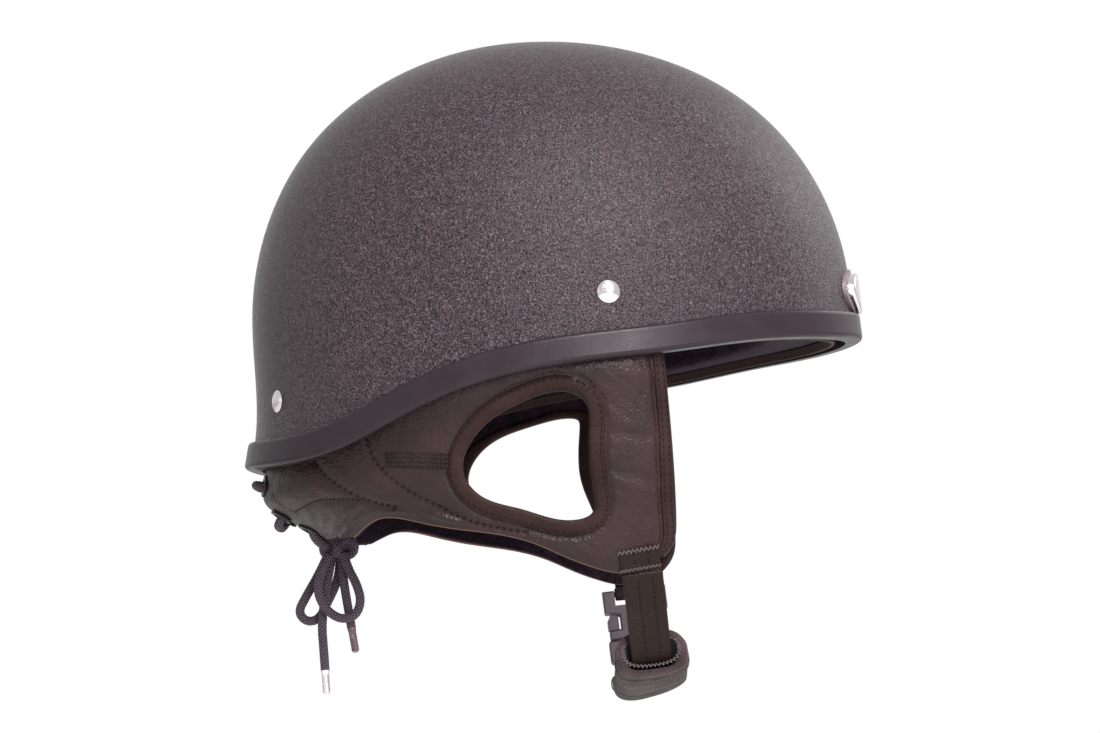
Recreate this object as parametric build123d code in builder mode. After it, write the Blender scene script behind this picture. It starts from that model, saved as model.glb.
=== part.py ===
"""A jockey's skull cap: round hard shell with a rubber edge trim, padded lining, a leather
harness laced at the nape, and a chin strap with a side-release buckle.

+X is the brow, +Z is up and -Y is the wearer's right. The origin is the middle of the head
opening, and the cap stands nose up, as it does when its harness hangs plumb.
"""

import os
from math import atan2, cos, hypot, pi, radians, sin, tan

from build123d import *

os.makedirs("parts", exist_ok=True)

# Shell
shell_front = 146.5
shell_rear = 132
shell_half_width = 107
shell_height = 163.4
shell_wall = 3.2
shell_lean = 5.2
girth_back = 3.2
girth_drop = 26
side_fullness = 1.97
crown_fullness = 2.86
skirt_depth = 48
skirt_flare_share = 0.087
skirt_shares = ((1, 1), (0.5, 0.46))
level_shares = (0, 0.3, 0.55, 0.75, 0.88, 0.95, 0.985, 0.998)
rim_drop = 62

# Rubber edge trim
trim_height = 12.4
trim_proud = 3
trim_flange = 2
trim_web = 3
trim_rounding = 2

# Padding
fit_gap = 0.3
liner_front = 110
liner_rear = 99
liner_half_width = 84
liner_height = 135
headband_thickness = 6
headband_height = 46
headband_lift = 4.6
piping_size = 2.6
crown_pad_radius = 50
crown_pad_thickness = 6

# Leather harness
harness_drop = 110
leather = 2.5
lining = 1.4
harness_inset = 5.9
tuck = 9.5
binding_width = 7.4
ear_rim_points = 24
binding_proud = 0.9
facing_inner = 9
facing_outer = 33
facing_proud = 1.1
anchor_width = 22
anchor_height = 13
anchor_top = 52

# Rivets
rivet_head_radius = 5
rivet_head_height = 1.7
rivet_shank_radius = 2.2
spacer_radius = 5
spacer_thickness = 1.5
burr_radius = 5.5
burr_thickness = 1

# Badge plate
badge_length = 54
badge_height = 22
badge_rise = 20.8
badge_border = 4
backing_thickness = 1.4
badge_thickness = 3
badge_rounding = 1.6

# Lacing
lace = 4.2
eyelet_radius = 5.1
eyelet_bore = 3.2
eyelet_out = 16
eyelet_flange = 0.8
knot_length = 17
knot_height = 10.4
knot_depth = 13.6
aglet_radius = 1.75
aglet_long = 11
knot_x = -97
knot_z = -95.5
knot_turns = 4
bar_bow = 0.9
bar_bend_share = 0.34
bow_bend_share = 0.45
aglet_short = 11.5

# Chin strap
strap_width = 18
strap_thickness = 1.8
strap_lean = 7
strap_skew = 2.1
strap_back = 38.8
fold_drop = 10.9
bend_out = 57
bend_drop = 49
bend_radius = 14
chin_sag = 58
chin_radius = 110
buckle_bend_out = 60
buckle_bend_drop = 54
buckle_bend_radius = 8
pad_width = 33
pad_thickness = 12
pad_lead = 3.5
pad_start = 32
pad_rounding = 3.5
swing_gap = 0.35

# Side-release buckle
buckle_width = 30
buckle_thickness = 8
buckle_plate = 1.6
bar_half = 1.3
webbing = 1.5
bar_drop = 2.4
strap_slot = 2.6
slot_height = 4.6
shoulder_length = 9
window_length = 8.6
window_depth = 7
mouth_length = 4.4
mouth_inset = 1.3
mouth_wall = 1.5
male_length = 10.8
male_thickness = 7.2
arm_width = 2.8
arm_play = 0.4
arm_pivot_out = 10
arm_pivot_depth = 2.9
arm_pivot_radius = 1.7
ridge = 1
prong_half = 2.4
buckle_rounding = 1.4

# Shared measures
reach = 400
overrun = 2

# The shell's frame, turned nose up about the widest level
lean = radians(shell_lean)
shell_plane = Plane(
    origin=(-girth_back, 0, -girth_drop),
    x_dir=(cos(lean), 0, sin(lean)),
    z_dir=(-sin(lean), 0, cos(lean)),
)


# Domes and other forms shared by several pieces

def egg_section(level, front, rear, half_width):
    """A closed section across the shell's frame: half an ellipse ahead and half behind."""
    with BuildSketch(shell_plane.offset(level)) as section:
        with BuildLine():
            EllipticalCenterArc((0, 0), front, half_width, start_angle=-90, arc_size=180)
            EllipticalCenterArc((0, 0), rear, half_width, start_angle=90, arc_size=180)
        make_face()
    return section.sketch


def girth_share(level_share):
    """How wide a dome is at a share of its height, as a share of its girth."""
    return (1 - level_share**crown_fullness) ** (1 / side_fullness)


def dome(front, rear, half_width, height):
    """A closed dome: egg sections that follow the superellipse, with a flared skirt below."""
    sections = []
    for depth_share, flare_share in skirt_shares:
        flare = 1 + flare_share * skirt_flare_share
        level = -depth_share * skirt_depth
        sections.append(egg_section(level, front * flare, rear * flare, half_width * flare))
    for share in level_shares:
        girth = girth_share(share)
        level = share * height
        sections.append(egg_section(level, front * girth, rear * girth, half_width * girth))
    with BuildPart() as form:
        loft(sections)
    return form.part


def skin(outset):
    """The shell's outer form grown by outset."""
    front = shell_front + outset
    rear = shell_rear + outset
    return dome(front, rear, shell_half_width + outset, shell_height + outset)


def side_point(x_share, z_share, drop):
    """A point of a side view, from shares of the shell's half lengths and of a drop."""
    half_length = shell_front if x_share > 0 else shell_rear
    return (x_share * half_length, z_share * drop)


rim_shares = [
    (1.045, 0.02), (0.915, -0.04), (0.655, -0.115), (0.382, -0.225), (0.164, -0.295),
    (-0.083, -0.39), (-0.28, -0.51), (-0.447, -0.66), (-0.614, -0.835), (-0.78, -0.955),
    (-0.973, -0.985), (-1.12, -0.945),
]


def rim_points(lift):
    """The rim line in a side view, moved square to itself by lift."""
    line = [side_point(x_share, z_share, rim_drop) for x_share, z_share in rim_shares]
    moved = []
    for index, (x, z) in enumerate(line):
        ahead = line[max(index - 1, 0)]
        behind = line[min(index + 1, len(line) - 1)]
        run = ahead[0] - behind[0]
        rise = ahead[1] - behind[1]
        length = hypot(run, rise)
        moved.append((x - lift * rise / length, z + lift * run / length))
    return moved


def above_rim(lift):
    """All the space above the rim line moved by lift."""
    with BuildPart() as space:
        with BuildSketch(Plane.XZ):
            with BuildLine():
                edge = Spline(*rim_points(lift))
                Polyline(edge @ 1, ((edge @ 1).X, reach), ((edge @ 0).X, reach), edge @ 0)
            make_face()
        extrude(amount=reach / 2, both=True)
    return space.part


def skin_point(form, through, direction):
    """The last point where a line leaves a form, with the outward normal there."""
    line = Axis(through, direction)
    hits = [hit for face in form.faces() for hit in face.find_intersection_points(line)]
    point, normal = max(hits, key=lambda hit: (hit[0] - Vector(through)).dot(line.direction))
    return point, (normal if normal.dot(line.direction) > 0 else -normal)


shell_outer = skin(0)
shell_inner = skin(-shell_wall)
shell_space = above_rim(trim_web)
trim_top = above_rim(trim_height)
head_space = dome(
    liner_front - headband_thickness,
    liner_rear - headband_thickness,
    liner_half_width - headband_thickness,
    liner_height - headband_thickness,
)

# Rivets stand square to the shell, two on each side
rivet_shares = [(0.193, 0.187), (-0.92, -0.513)]
rivet_planes = []
for x_share, z_share in rivet_shares:
    rivet_x, rivet_z = side_point(x_share, z_share, rim_drop)
    for side in (-1, 1):
        point, normal = skin_point(shell_outer, (rivet_x, 0, rivet_z), (0, side, 0))
        rivet_planes.append(Plane(origin=point, z_dir=normal))

# Shell
with BuildPart() as shell:
    add(shell_outer)
    add(shell_inner, mode=Mode.SUBTRACT)
    add(shell_space, mode=Mode.INTERSECT)
    with Locations(*rivet_planes):
        Cylinder(rivet_shank_radius + fit_gap / 3, 4 * shell_wall, mode=Mode.SUBTRACT)
shell.part.label = "shell"
export_step(shell.part, "parts/shell.step")

# Rubber trim: a channel that grips the shell's edge on both faces, its outer corners rounded
with BuildPart() as channel:
    add(shell_outer)
    add(shell_inner, mode=Mode.SUBTRACT)
    add(shell_space, mode=Mode.INTERSECT)
with BuildPart() as rim_trim:
    add(skin(trim_proud))
    add(skin(-shell_wall - trim_flange), mode=Mode.SUBTRACT)
    add(above_rim(0), mode=Mode.INTERSECT)
    add(trim_top, mode=Mode.SUBTRACT)
    long_edges = rim_trim.edges().filter_by(lambda edge: edge.length > shell_rear)
    outer_edges = long_edges.sort_by(lambda edge: abs(edge.center().Y))[-8:]
    fillet(outer_edges, radius=trim_rounding)
    add(channel.part, mode=Mode.SUBTRACT)
rim_trim.part.label = "rim_trim"
export_step(rim_trim.part, "parts/rim_trim.step")

# Badge plate on its backing, both bent to the shell's brow

def badge_prism(border):
    """An oval drawn on the brow's front view, pushed back through the shell."""
    with BuildPart() as prism:
        with BuildSketch(Plane.YZ.offset(shell_front / 2)):
            with Locations((0, badge_rise)):
                Ellipse(badge_length / 2 - border, badge_height / 2 - border * badge_height / badge_length)
        extrude(amount=shell_front)
    return prism.part


backing_skin = skin(backing_thickness)
with BuildPart() as badge_backing:
    add(badge_prism(0))
    add(backing_skin, mode=Mode.INTERSECT)
    add(shell_outer, mode=Mode.SUBTRACT)
    add(above_rim(trim_height + fit_gap), mode=Mode.INTERSECT)
badge_backing.part.label = "badge_backing"
export_step(badge_backing.part, "parts/badge_backing.step")

with BuildPart() as badge_plate:
    add(badge_prism(badge_border))
    add(skin(backing_thickness + badge_thickness), mode=Mode.INTERSECT)
    add(backing_skin, mode=Mode.SUBTRACT)
    fillet(badge_plate.faces().sort_by(Axis.X)[-1].edges(), radius=badge_rounding)
badge_plate.part.label = "badge_plate"
export_step(badge_plate.part, "parts/badge_plate.step")

# The harness's form, which the padding keeps clear of

collar_shares = [
    (-1.1, 0.874, 0.38, 0.593), (-0.955, 0.887, 0.455, 0.635), (-0.818, 0.898, 0.535, 0.682),
    (-0.68, 0.908, 0.625, 0.734), (-0.565, 0.918, 0.73, 0.78), (-0.46, 0.928, 0.87, 0.822),
    (-0.355, 0.935, 0.985, 0.857), (-0.236, 0.945, 0.978, 0.8925), (-0.118, 0.954, 0.964, 0.923),
]
collar_top_shares = (0, 0.25, 0.5, 0.75, 1)


def collar(outset):
    """The harness's outer form grown by outset: round the head, drawn in below the nape."""
    sections = []
    for level_share, front_share, rear_share, width_share in collar_shares:
        sections.append(egg_section(
            level_share * harness_drop,
            front_share * shell_front + outset,
            rear_share * shell_rear + outset,
            width_share * shell_half_width + outset,
        ))
    for share in collar_top_shares:
        level = share * anchor_top
        girth = girth_share(level / shell_height)
        inset = outset - harness_inset
        sections.append(egg_section(
            level, girth * shell_front + inset, girth * shell_rear + inset, girth * shell_half_width + inset
        ))
    with BuildPart() as form:
        loft(sections)
    return form.part


# Padding

liner_space = dome(liner_front, liner_rear, liner_half_width, liner_height)
harness_back = skin(-harness_inset - leather - lining - fit_gap)


def side_block(x_low, x_high, z_low, z_high):
    """A block seen square from the side, as wide as the cap and more."""
    with BuildPart() as block:
        with BuildSketch(Plane.XZ):
            with Locations(((x_low + x_high) / 2, (z_low + z_high) / 2)):
                Rectangle(x_high - x_low, z_high - z_low)
        extrude(amount=reach / 2, both=True)
    return block.part


# Each anchor strap runs up from the leather to its rivet, and lies in a pocket of the liner

def anchor_boxes(gap):
    """Blocks round the two right-hand anchor straps, wider by a gap."""
    blocks = []
    for plane in rivet_planes[::2]:
        centre = plane.origin - plane.z_dir * harness_inset
        breadth = anchor_width / 2 * abs(plane.z_dir.Y) + gap
        low = centre.Z - shell_height / 2
        high = centre.Z + anchor_height + gap
        blocks.append(side_block(centre.X - breadth, centre.X + breadth, low, high))
    return blocks


with BuildPart() as anchor_space:
    add(anchor_boxes(0))
with BuildPart() as pocket_space:
    add(anchor_boxes(fit_gap))
with BuildPart() as impact_liner:
    add(skin(-shell_wall - fit_gap))
    add(liner_space, mode=Mode.SUBTRACT)
    add(above_rim(trim_height + fit_gap), mode=Mode.INTERSECT)
with BuildPart() as pocket:
    add(skin(overrun))
    add(harness_back, mode=Mode.SUBTRACT)
    add(pocket_space.part, mode=Mode.INTERSECT)
with BuildPart() as liner_cut:
    add(impact_liner.part)
    add(pocket.part, mode=Mode.SUBTRACT)
    with Locations(*rivet_planes):
        Cylinder(
            burr_radius + fit_gap,
            2 * (harness_inset + leather + lining + burr_thickness + overrun),
            mode=Mode.SUBTRACT,
        )
liner_cut.part.label = "impact_liner"
export_step(liner_cut.part, "parts/impact_liner.step")

# The room that the harness and its facings take inside the trim
with BuildPart() as harness_room:
    add(skin(overrun))
    add(collar(-leather - lining - binding_proud - fit_gap), mode=Mode.SUBTRACT)
    add(above_rim(tuck + fit_gap), mode=Mode.SUBTRACT)

# The fleece headband covers the liner's lower edge and stands inside it
with BuildPart() as headband:
    add(skin(-harness_inset - leather - lining - 2 * fit_gap))
    add(above_rim(trim_height), mode=Mode.SUBTRACT)
    add(dome(
        liner_front - fit_gap, liner_rear - fit_gap, liner_half_width - fit_gap, liner_height - fit_gap
    ))
    add(head_space, mode=Mode.SUBTRACT)
    add(above_rim(headband_lift), mode=Mode.INTERSECT)
    add(above_rim(headband_height), mode=Mode.SUBTRACT)
    add(harness_room.part, mode=Mode.SUBTRACT)
headband.part.label = "headband"
export_step(headband.part, "parts/headband.step")

with BuildPart() as headband_piping:
    add(skin(-harness_inset - leather - lining - 2 * fit_gap))
    add(skin(-harness_inset - leather - lining - 2 * fit_gap - piping_size), mode=Mode.SUBTRACT)
    add(above_rim(headband_lift - piping_size), mode=Mode.INTERSECT)
    add(above_rim(headband_lift), mode=Mode.SUBTRACT)
    add(harness_room.part, mode=Mode.SUBTRACT)
headband_piping.part.label = "headband_piping"
export_step(headband_piping.part, "parts/headband_piping.step")

with BuildPart() as crown_pad:
    add(dome(
        liner_front - fit_gap, liner_rear - fit_gap, liner_half_width - fit_gap, liner_height - fit_gap
    ))
    add(dome(
        liner_front - crown_pad_thickness,
        liner_rear - crown_pad_thickness,
        liner_half_width - crown_pad_thickness,
        liner_height - crown_pad_thickness,
    ), mode=Mode.SUBTRACT)
    with Locations(shell_plane):
        Cylinder(
            crown_pad_radius,
            shell_height,
            align=(Align.CENTER, Align.CENTER, Align.MIN),
            mode=Mode.INTERSECT,
        )
crown_pad.part.label = "crown_pad"
export_step(crown_pad.part, "parts/crown_pad.step")

# Leather harness

panel_shares = [
    (-0.66, -0.84), (-0.56, -0.775), (-0.43, -0.792), (-0.3, -0.822), (-0.16, -0.845),
    (-0.03, -0.885), (0.06, -0.935), (0.13, -0.97), (0.22, -0.998), (0.29, -0.99),
    (0.35, -0.945), (0.388, -0.87), (0.394, -0.78), (0.383, -0.5), (0.358, -0.14),
]
ear_shares = [
    (-0.27, -0.605), (-0.213, -0.44), (-0.15, -0.378), (-0.05, -0.32), (0.055, -0.289),
    (0.118, -0.325), (0.132, -0.44), (0.143, -0.66), (0.14, -0.765), (0.095, -0.79),
    (-0.08, -0.748), (-0.22, -0.69),
]
front_seam_shares = [(0.318, -0.13), (0.34, -0.48), (0.35, -0.79), (0.349, -0.875), (0.32, -0.935)]

panel_points = [side_point(x_share, z_share, harness_drop) for x_share, z_share in panel_shares]
nape_low = side_point(-1.12, -0.84, harness_drop)
nape_high = side_point(-1.12, 0, harness_drop)
with BuildPart() as panel_space:
    with BuildSketch(Plane.XZ):
        with BuildLine():
            hem = Spline(*panel_points)
            Polyline(hem @ 1, ((hem @ 1).X, 0), nape_high, nape_low, hem @ 0)
        make_face()
    extrude(amount=reach / 2)
    add(above_rim(tuck), mode=Mode.SUBTRACT)

ear_points = [side_point(x_share, z_share, harness_drop) for x_share, z_share in ear_shares]


def ear_prism(outset):
    """The ear hole's outline grown by outset, pushed out through the right side."""
    edge = Edge.make_spline([Vector(*point) for point in ear_points], periodic=True)
    points = []
    for index in range(ear_rim_points):
        place = edge.position_at(index / ear_rim_points)
        heading = edge.tangent_at(index / ear_rim_points)
        points.append((place.X - heading.Y * outset, place.Y + heading.X * outset))
    with BuildPart() as prism:
        with BuildSketch(Plane.XZ):
            with BuildLine():
                Spline(*points, periodic=True)
            make_face()
        extrude(amount=reach / 2)
    return prism.part


ear_space = ear_prism(0)
ear_rim_space = ear_prism(binding_width)

seam_points = [side_point(x_share, z_share, harness_drop) for x_share, z_share in front_seam_shares]
brow_low = side_point(0.6, -0.935, harness_drop)
brow_high = side_point(0.6, -0.13, harness_drop)
with BuildPart() as front_binding_space:
    with BuildSketch(Plane.XZ):
        with BuildLine():
            seam = Spline(*seam_points)
            Polyline(seam @ 1, brow_low, brow_high, seam @ 0)
        make_face()
    extrude(amount=reach / 2)
    add(above_rim(-fit_gap), mode=Mode.SUBTRACT)

nape_x = -shell_rear / 2
with BuildPart() as facing_space:
    with Locations((nape_x, 0, 0)):
        Box(
            shell_rear, facing_outer, 2 * reach,
            align=(Align.MAX, Align.MAX, Align.CENTER),
        )
    with Locations((nape_x, 0, 0)):
        Box(
            shell_rear, facing_inner, 2 * reach,
            align=(Align.MAX, Align.MAX, Align.CENTER),
            mode=Mode.SUBTRACT,
        )
with BuildPart() as nape_space:
    with Locations((nape_x, 0, 0)):
        Box(shell_rear, facing_outer, 2 * reach, align=(Align.MAX, Align.MAX, Align.CENTER))

collar_face = collar(0)
collar_back = collar(-leather)
lining_back = collar(-leather - lining)
binding_face = collar(binding_proud)
binding_back = collar(-leather - lining - binding_proud)
below_trim = above_rim(-fit_gap)

# Chin strap's own plane: X runs from the wearer's right to the left, Y up along the strap
tilt = radians(strap_lean)
skew = radians(strap_skew)
across = Vector(cos(skew) * cos(tilt), sin(skew), cos(skew) * sin(tilt))
leftward = Vector(-sin(skew) * cos(tilt), cos(skew), -sin(skew) * sin(tilt))
strap_top = -harness_drop / 1.1
strap_plane = Plane(origin=(strap_back, 0, strap_top), x_dir=leftward, z_dir=across)

# Each side's strap tab lies on the leather and ends just above the fold
fold_z = strap_top - fold_drop
fold_x = strap_back + fold_drop * tan(tilt)
tab_shift = -bend_out * tan(skew) * cos(tilt)


def tab_centre(side):
    """Where the strap's centre line crosses the foot of one side's leather."""
    point, normal = skin_point(collar_face, (fold_x + side * tab_shift, 0, fold_z), (0, side, 0))
    return point


right_foot = strap_plane.to_local_coords(tab_centre(-1))
left_foot = strap_plane.to_local_coords(tab_centre(1))
fold = Vector(right_foot.X - strap_thickness / 2 - fit_gap, -fold_drop)
bar_centre = Vector(left_foot.X + webbing / 2, -fold_drop - bar_drop)


def tab_prism(side, low, high, width):
    """The side-view outline of a strap tab between two heights on the strap's plane."""
    centre_x = strap_back + side * tab_shift
    corners = []
    for up, aside in ((low, -1), (low, 1), (high, 1), (high, -1)):
        ahead = aside * width / 2
        corners.append((
            centre_x + ahead * cos(tilt) - up * sin(tilt),
            strap_top + up * cos(tilt) + ahead * sin(tilt),
        ))
    with BuildPart() as prism:
        with BuildSketch(Plane.XZ):
            with BuildLine():
                Polyline(*corners, close=True)
            make_face()
        extrude(amount=-side * reach / 2)
    return prism.part


tab_face = collar(fit_gap / 3 + strap_thickness)
tab_back = collar(fit_gap / 3)

# Right-hand leather pieces; the left-hand ones mirror them
with BuildPart() as harness_right:
    add(collar_face)
    add(collar_back, mode=Mode.SUBTRACT)
    add(panel_space.part, mode=Mode.INTERSECT)
    add(ear_rim_space, mode=Mode.SUBTRACT)
    add(front_binding_space.part, mode=Mode.SUBTRACT)
    add(nape_space.part, mode=Mode.SUBTRACT)

with BuildPart() as harness_lining_right:
    add(collar_back)
    add(lining_back, mode=Mode.SUBTRACT)
    add(panel_space.part, mode=Mode.INTERSECT)
    add(below_trim, mode=Mode.SUBTRACT)
    add(ear_rim_space, mode=Mode.SUBTRACT)
    add(front_binding_space.part, mode=Mode.SUBTRACT)
    add(nape_space.part, mode=Mode.SUBTRACT)

with BuildPart() as ear_binding_right:
    add(binding_face)
    add(binding_back, mode=Mode.SUBTRACT)
    add(ear_rim_space, mode=Mode.INTERSECT)
    add(ear_space, mode=Mode.SUBTRACT)

with BuildPart() as front_binding_right:
    add(binding_face)
    add(binding_back, mode=Mode.SUBTRACT)
    add(panel_space.part, mode=Mode.INTERSECT)
    add(front_binding_space.part, mode=Mode.INTERSECT)
    add(tab_prism(-1, -fold_drop, overrun, strap_width + 2 * fit_gap), mode=Mode.SUBTRACT)

# Lacing rows down the nape, on the facings
row_shares = [(-0.4, -0.62), (-0.4, -0.745), (-0.4, -0.8)]
facing_face = collar(facing_proud)
eyelet_planes = []
for x_share, z_share in row_shares:
    row_x, row_z = side_point(x_share, z_share, harness_drop)
    for side in (-1, 1):
        start = (row_x, side * eyelet_out, row_z)
        point, normal = skin_point(facing_face, start, (-1, 0, 0))
        eyelet_planes.append(Plane(origin=point, z_dir=normal))

with BuildPart() as nape_facing_right:
    add(facing_face)
    add(binding_back, mode=Mode.SUBTRACT)
    add(panel_space.part, mode=Mode.INTERSECT)
    add(facing_space.part, mode=Mode.INTERSECT)
    with Locations(*eyelet_planes[::2]):
        Cylinder(eyelet_bore + eyelet_flange, 4 * facing_proud + 4 * leather, mode=Mode.SUBTRACT)

with BuildPart() as anchor_straps_right:
    add(collar_face)
    add(collar_back, mode=Mode.SUBTRACT)
    add(anchor_space.part, mode=Mode.INTERSECT)
    add(above_rim(tuck), mode=Mode.INTERSECT)
    split(bisect_by=Plane.XZ, keep=Keep.TOP)
    with Locations(*rivet_planes[::2]):
        Cylinder(rivet_shank_radius + fit_gap / 3, 8 * shell_wall, mode=Mode.SUBTRACT)

right_pieces = {
    "harness": harness_right,
    "harness_lining": harness_lining_right,
    "ear_binding": ear_binding_right,
    "front_binding": front_binding_right,
    "nape_facing": nape_facing_right,
    "anchor_straps": anchor_straps_right,
}
for name, piece in right_pieces.items():
    piece.part.label = f"{name}_right"
    export_step(piece.part, f"parts/{name}_right.step")
    with BuildPart() as other_side:
        add(mirror(piece.part, about=Plane.XZ))
    other_side.part.label = f"{name}_left"
    export_step(other_side.part, f"parts/{name}_left.step")

with BuildPart() as strap_tab_right:
    add(tab_face)
    add(tab_back, mode=Mode.SUBTRACT)
    add(tab_prism(-1, strap_thickness / 2 + swing_gap - fold_drop, 0, strap_width), mode=Mode.INTERSECT)
strap_tab_right.part.label = "strap_tab_right"
export_step(strap_tab_right.part, "parts/strap_tab_right.step")

# Rivets: a domed head outside, a spacer behind the shell and a burr behind the strap
bore_radius = rivet_shank_radius + fit_gap / 3
shank_length = harness_inset + leather + fit_gap + burr_thickness
with BuildPart() as rivet:
    with BuildSketch(Plane.XZ):
        with BuildLine():
            Polyline(
                (0, rivet_head_height), (0, -shank_length), (rivet_shank_radius, -shank_length),
                (rivet_shank_radius, fit_gap / 3), (rivet_head_radius, fit_gap / 3),
            )
            TangentArc((0, rivet_head_height), (rivet_head_radius, fit_gap / 3), tangent=(1, 0))
        make_face()
    revolve(axis=Axis.Z)
with BuildPart() as spacer:
    with Locations((0, 0, -shell_wall - fit_gap)):
        Cylinder(spacer_radius, spacer_thickness, align=(Align.CENTER, Align.CENTER, Align.MAX))
    Cylinder(bore_radius, 2 * shank_length, mode=Mode.SUBTRACT)
with BuildPart() as burr:
    with Locations((0, 0, -harness_inset - leather - fit_gap)):
        Cylinder(burr_radius, burr_thickness, align=(Align.CENTER, Align.CENTER, Align.MAX))
    Cylinder(bore_radius, 3 * shank_length, mode=Mode.SUBTRACT)
for name, piece in (("shell_rivets", rivet), ("rivet_spacers", spacer), ("rivet_burrs", burr)):
    with BuildPart() as group:
        with Locations(*rivet_planes):
            add(piece.part)
    group.part.label = name
    export_step(group.part, f"parts/{name}.step")

# Eyelets: a rolled flange on each facing, with a barrel down its hole
facing_depth = leather + lining + 2 * binding_proud
barrel_radius = eyelet_bore + eyelet_flange - fit_gap / 3
with BuildPart() as eyelet:
    with Locations((0, 0, fit_gap / 3)):
        Cylinder(eyelet_radius, eyelet_flange, align=(Align.CENTER, Align.CENTER, Align.MIN))
    fillet(eyelet.edges().filter_by(GeomType.CIRCLE).sort_by(Axis.Z)[-1], radius=eyelet_flange / 2)
    Cylinder(barrel_radius, facing_depth, align=(Align.CENTER, Align.CENTER, Align.MAX))
    with Locations((0, 0, fit_gap / 3)):
        Cylinder(barrel_radius, eyelet_flange / 2, align=(Align.CENTER, Align.CENTER, Align.CENTER))
    Cylinder(eyelet_bore, 3 * facing_depth, mode=Mode.SUBTRACT)
with BuildPart() as lace_eyelets:
    with Locations(*eyelet_planes):
        add(eyelet.part)
lace_eyelets.part.label = "lace_eyelets"
export_step(lace_eyelets.part, "parts/lace_eyelets.step")


# Lacing

def lace_tube(points, name, bend_share):
    """A length of lace along straight runs, with arcs that take a share of the shorter run beside each."""
    radii = []
    for before, corner, after in zip(points, points[1:], points[2:]):
        run_in = Vector(corner) - Vector(before)
        run_out = Vector(after) - Vector(corner)
        shorter = min(run_in.length, run_out.length)
        radii.append(bend_share * shorter / tan(radians(run_in.get_angle(run_out)) / 2))
    with BuildPart() as tube:
        with BuildLine():
            route = FilletPolyline(*points, radius=radii)
        with BuildSketch(Plane(origin=route @ 0, z_dir=route % 0)):
            Circle(lace / 2)
        sweep(path=route)
    share = tube.part.volume / (route.length * pi * lace**2 / 4)
    print(f"{name}: length {route.length:.1f}, least radius {min(radii):.1f}, volume share {share:.3f}")
    return tube.part


bar_lift = lace / 2 + eyelet_flange + lace / 4 + fit_gap
lace_depth = 2 * lace
knot_centre = Vector(knot_x, 0, knot_z)
with BuildPart() as nape_lacing:
    for right, left in zip(eyelet_planes[:-2:2], eyelet_planes[1:-2:2]):
        middle = (right.origin + left.origin) / 2 + (right.z_dir + left.z_dir) / 2 * (bar_lift + bar_bow)
        add(lace_tube([
            right.origin - right.z_dir * lace_depth,
            right.origin + right.z_dir * bar_lift,
            middle,
            left.origin + left.z_dir * bar_lift,
            left.origin - left.z_dir * lace_depth,
        ], "lace bar", bar_bend_share))
    for plane, side in zip(eyelet_planes[-2:], (-1, 1)):
        add(lace_tube([
            plane.origin - plane.z_dir * lace_depth,
            plane.origin + plane.z_dir * bar_lift,
            knot_centre + Vector(-knot_length / 2 + lace, side * lace / 2, 0),
        ], "lead to the knot", bar_bend_share))
nape_lacing.part.label = "nape_lacing"
export_step(nape_lacing.part, "parts/nape_lacing.step")

# The knot: turns of lace drawn tight side by side round the crossed strands
turn_straight = knot_depth - knot_height
turn_radius = (knot_height - lace) / 2
turn_pitch = (knot_length - lace) / (knot_turns - 1)
with BuildPart() as turn:
    with BuildLine(Plane.YZ) as turn_route:
        start = Line((-turn_straight / 2, turn_radius), (turn_straight / 2, turn_radius))
        RadiusArc((turn_straight / 2, turn_radius), (turn_straight / 2, -turn_radius), turn_radius)
        Line((turn_straight / 2, -turn_radius), (-turn_straight / 2, -turn_radius))
        RadiusArc((-turn_straight / 2, -turn_radius), (-turn_straight / 2, turn_radius), turn_radius)
    with BuildSketch(Plane(origin=start @ 0, z_dir=start % 0)):
        Circle(lace / 2)
    sweep(path=turn_route.wire())
with BuildPart() as lace_knot:
    with Locations(knot_centre):
        with GridLocations(turn_pitch, 0, knot_turns, 1):
            add(turn.part)
        Box(knot_length - lace, turn_straight + lace, lace)
lace_knot.part.label = "lace_knot"
export_step(lace_knot.part, "parts/lace_knot.step")

# The bow under the nape: two loops and two ends hang from the knot
bow_routes = {
    "lace_loop_right": [
        (-94.6, -4.2, -98), (-92.4, -4.6, -105), (-88.2, -4.8, -112.4), (-86, -4.9, -120.4),
        (-89, -4.9, -127.4), (-96.6, -4.8, -128.4), (-103.6, -4.7, -122.6), (-106.6, -4.7, -114.4),
        (-104.4, -4.5, -106.2), (-101, -4.2, -98.6),
    ],
    "lace_loop_left": [
        (-102, 4.2, -98), (-104.6, 4.5, -103.8), (-108, 4.6, -110.4), (-112.4, 4.9, -118),
        (-115.9, 5, -124.8), (-112, 5, -129.4), (-106.1, 5, -128.2), (-102.4, 4.9, -120.4),
        (-98.4, 4.9, -112.4), (-96.8, 4.7, -104.6), (-96.6, 4.2, -98),
    ],
    "lace_end_long": [
        (-100, 0, -99), (-101.4, 0, -107), (-103.2, 0, -118), (-104.6, 0, -131), (-103.6, 0, -142),
        (-102.9, 0, -151.5),
    ],
    "lace_end_short": [(-95.4, 0, -99), (-95.2, 0, -107), (-93.2, 0, -119.4), (-90.9, 0, -132.1)],
}
for name, points in bow_routes.items():
    with BuildPart() as strand:
        add(lace_tube(points, name, bow_bend_share))
    strand.part.label = name
    export_step(strand.part, f"parts/{name}.step")

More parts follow.
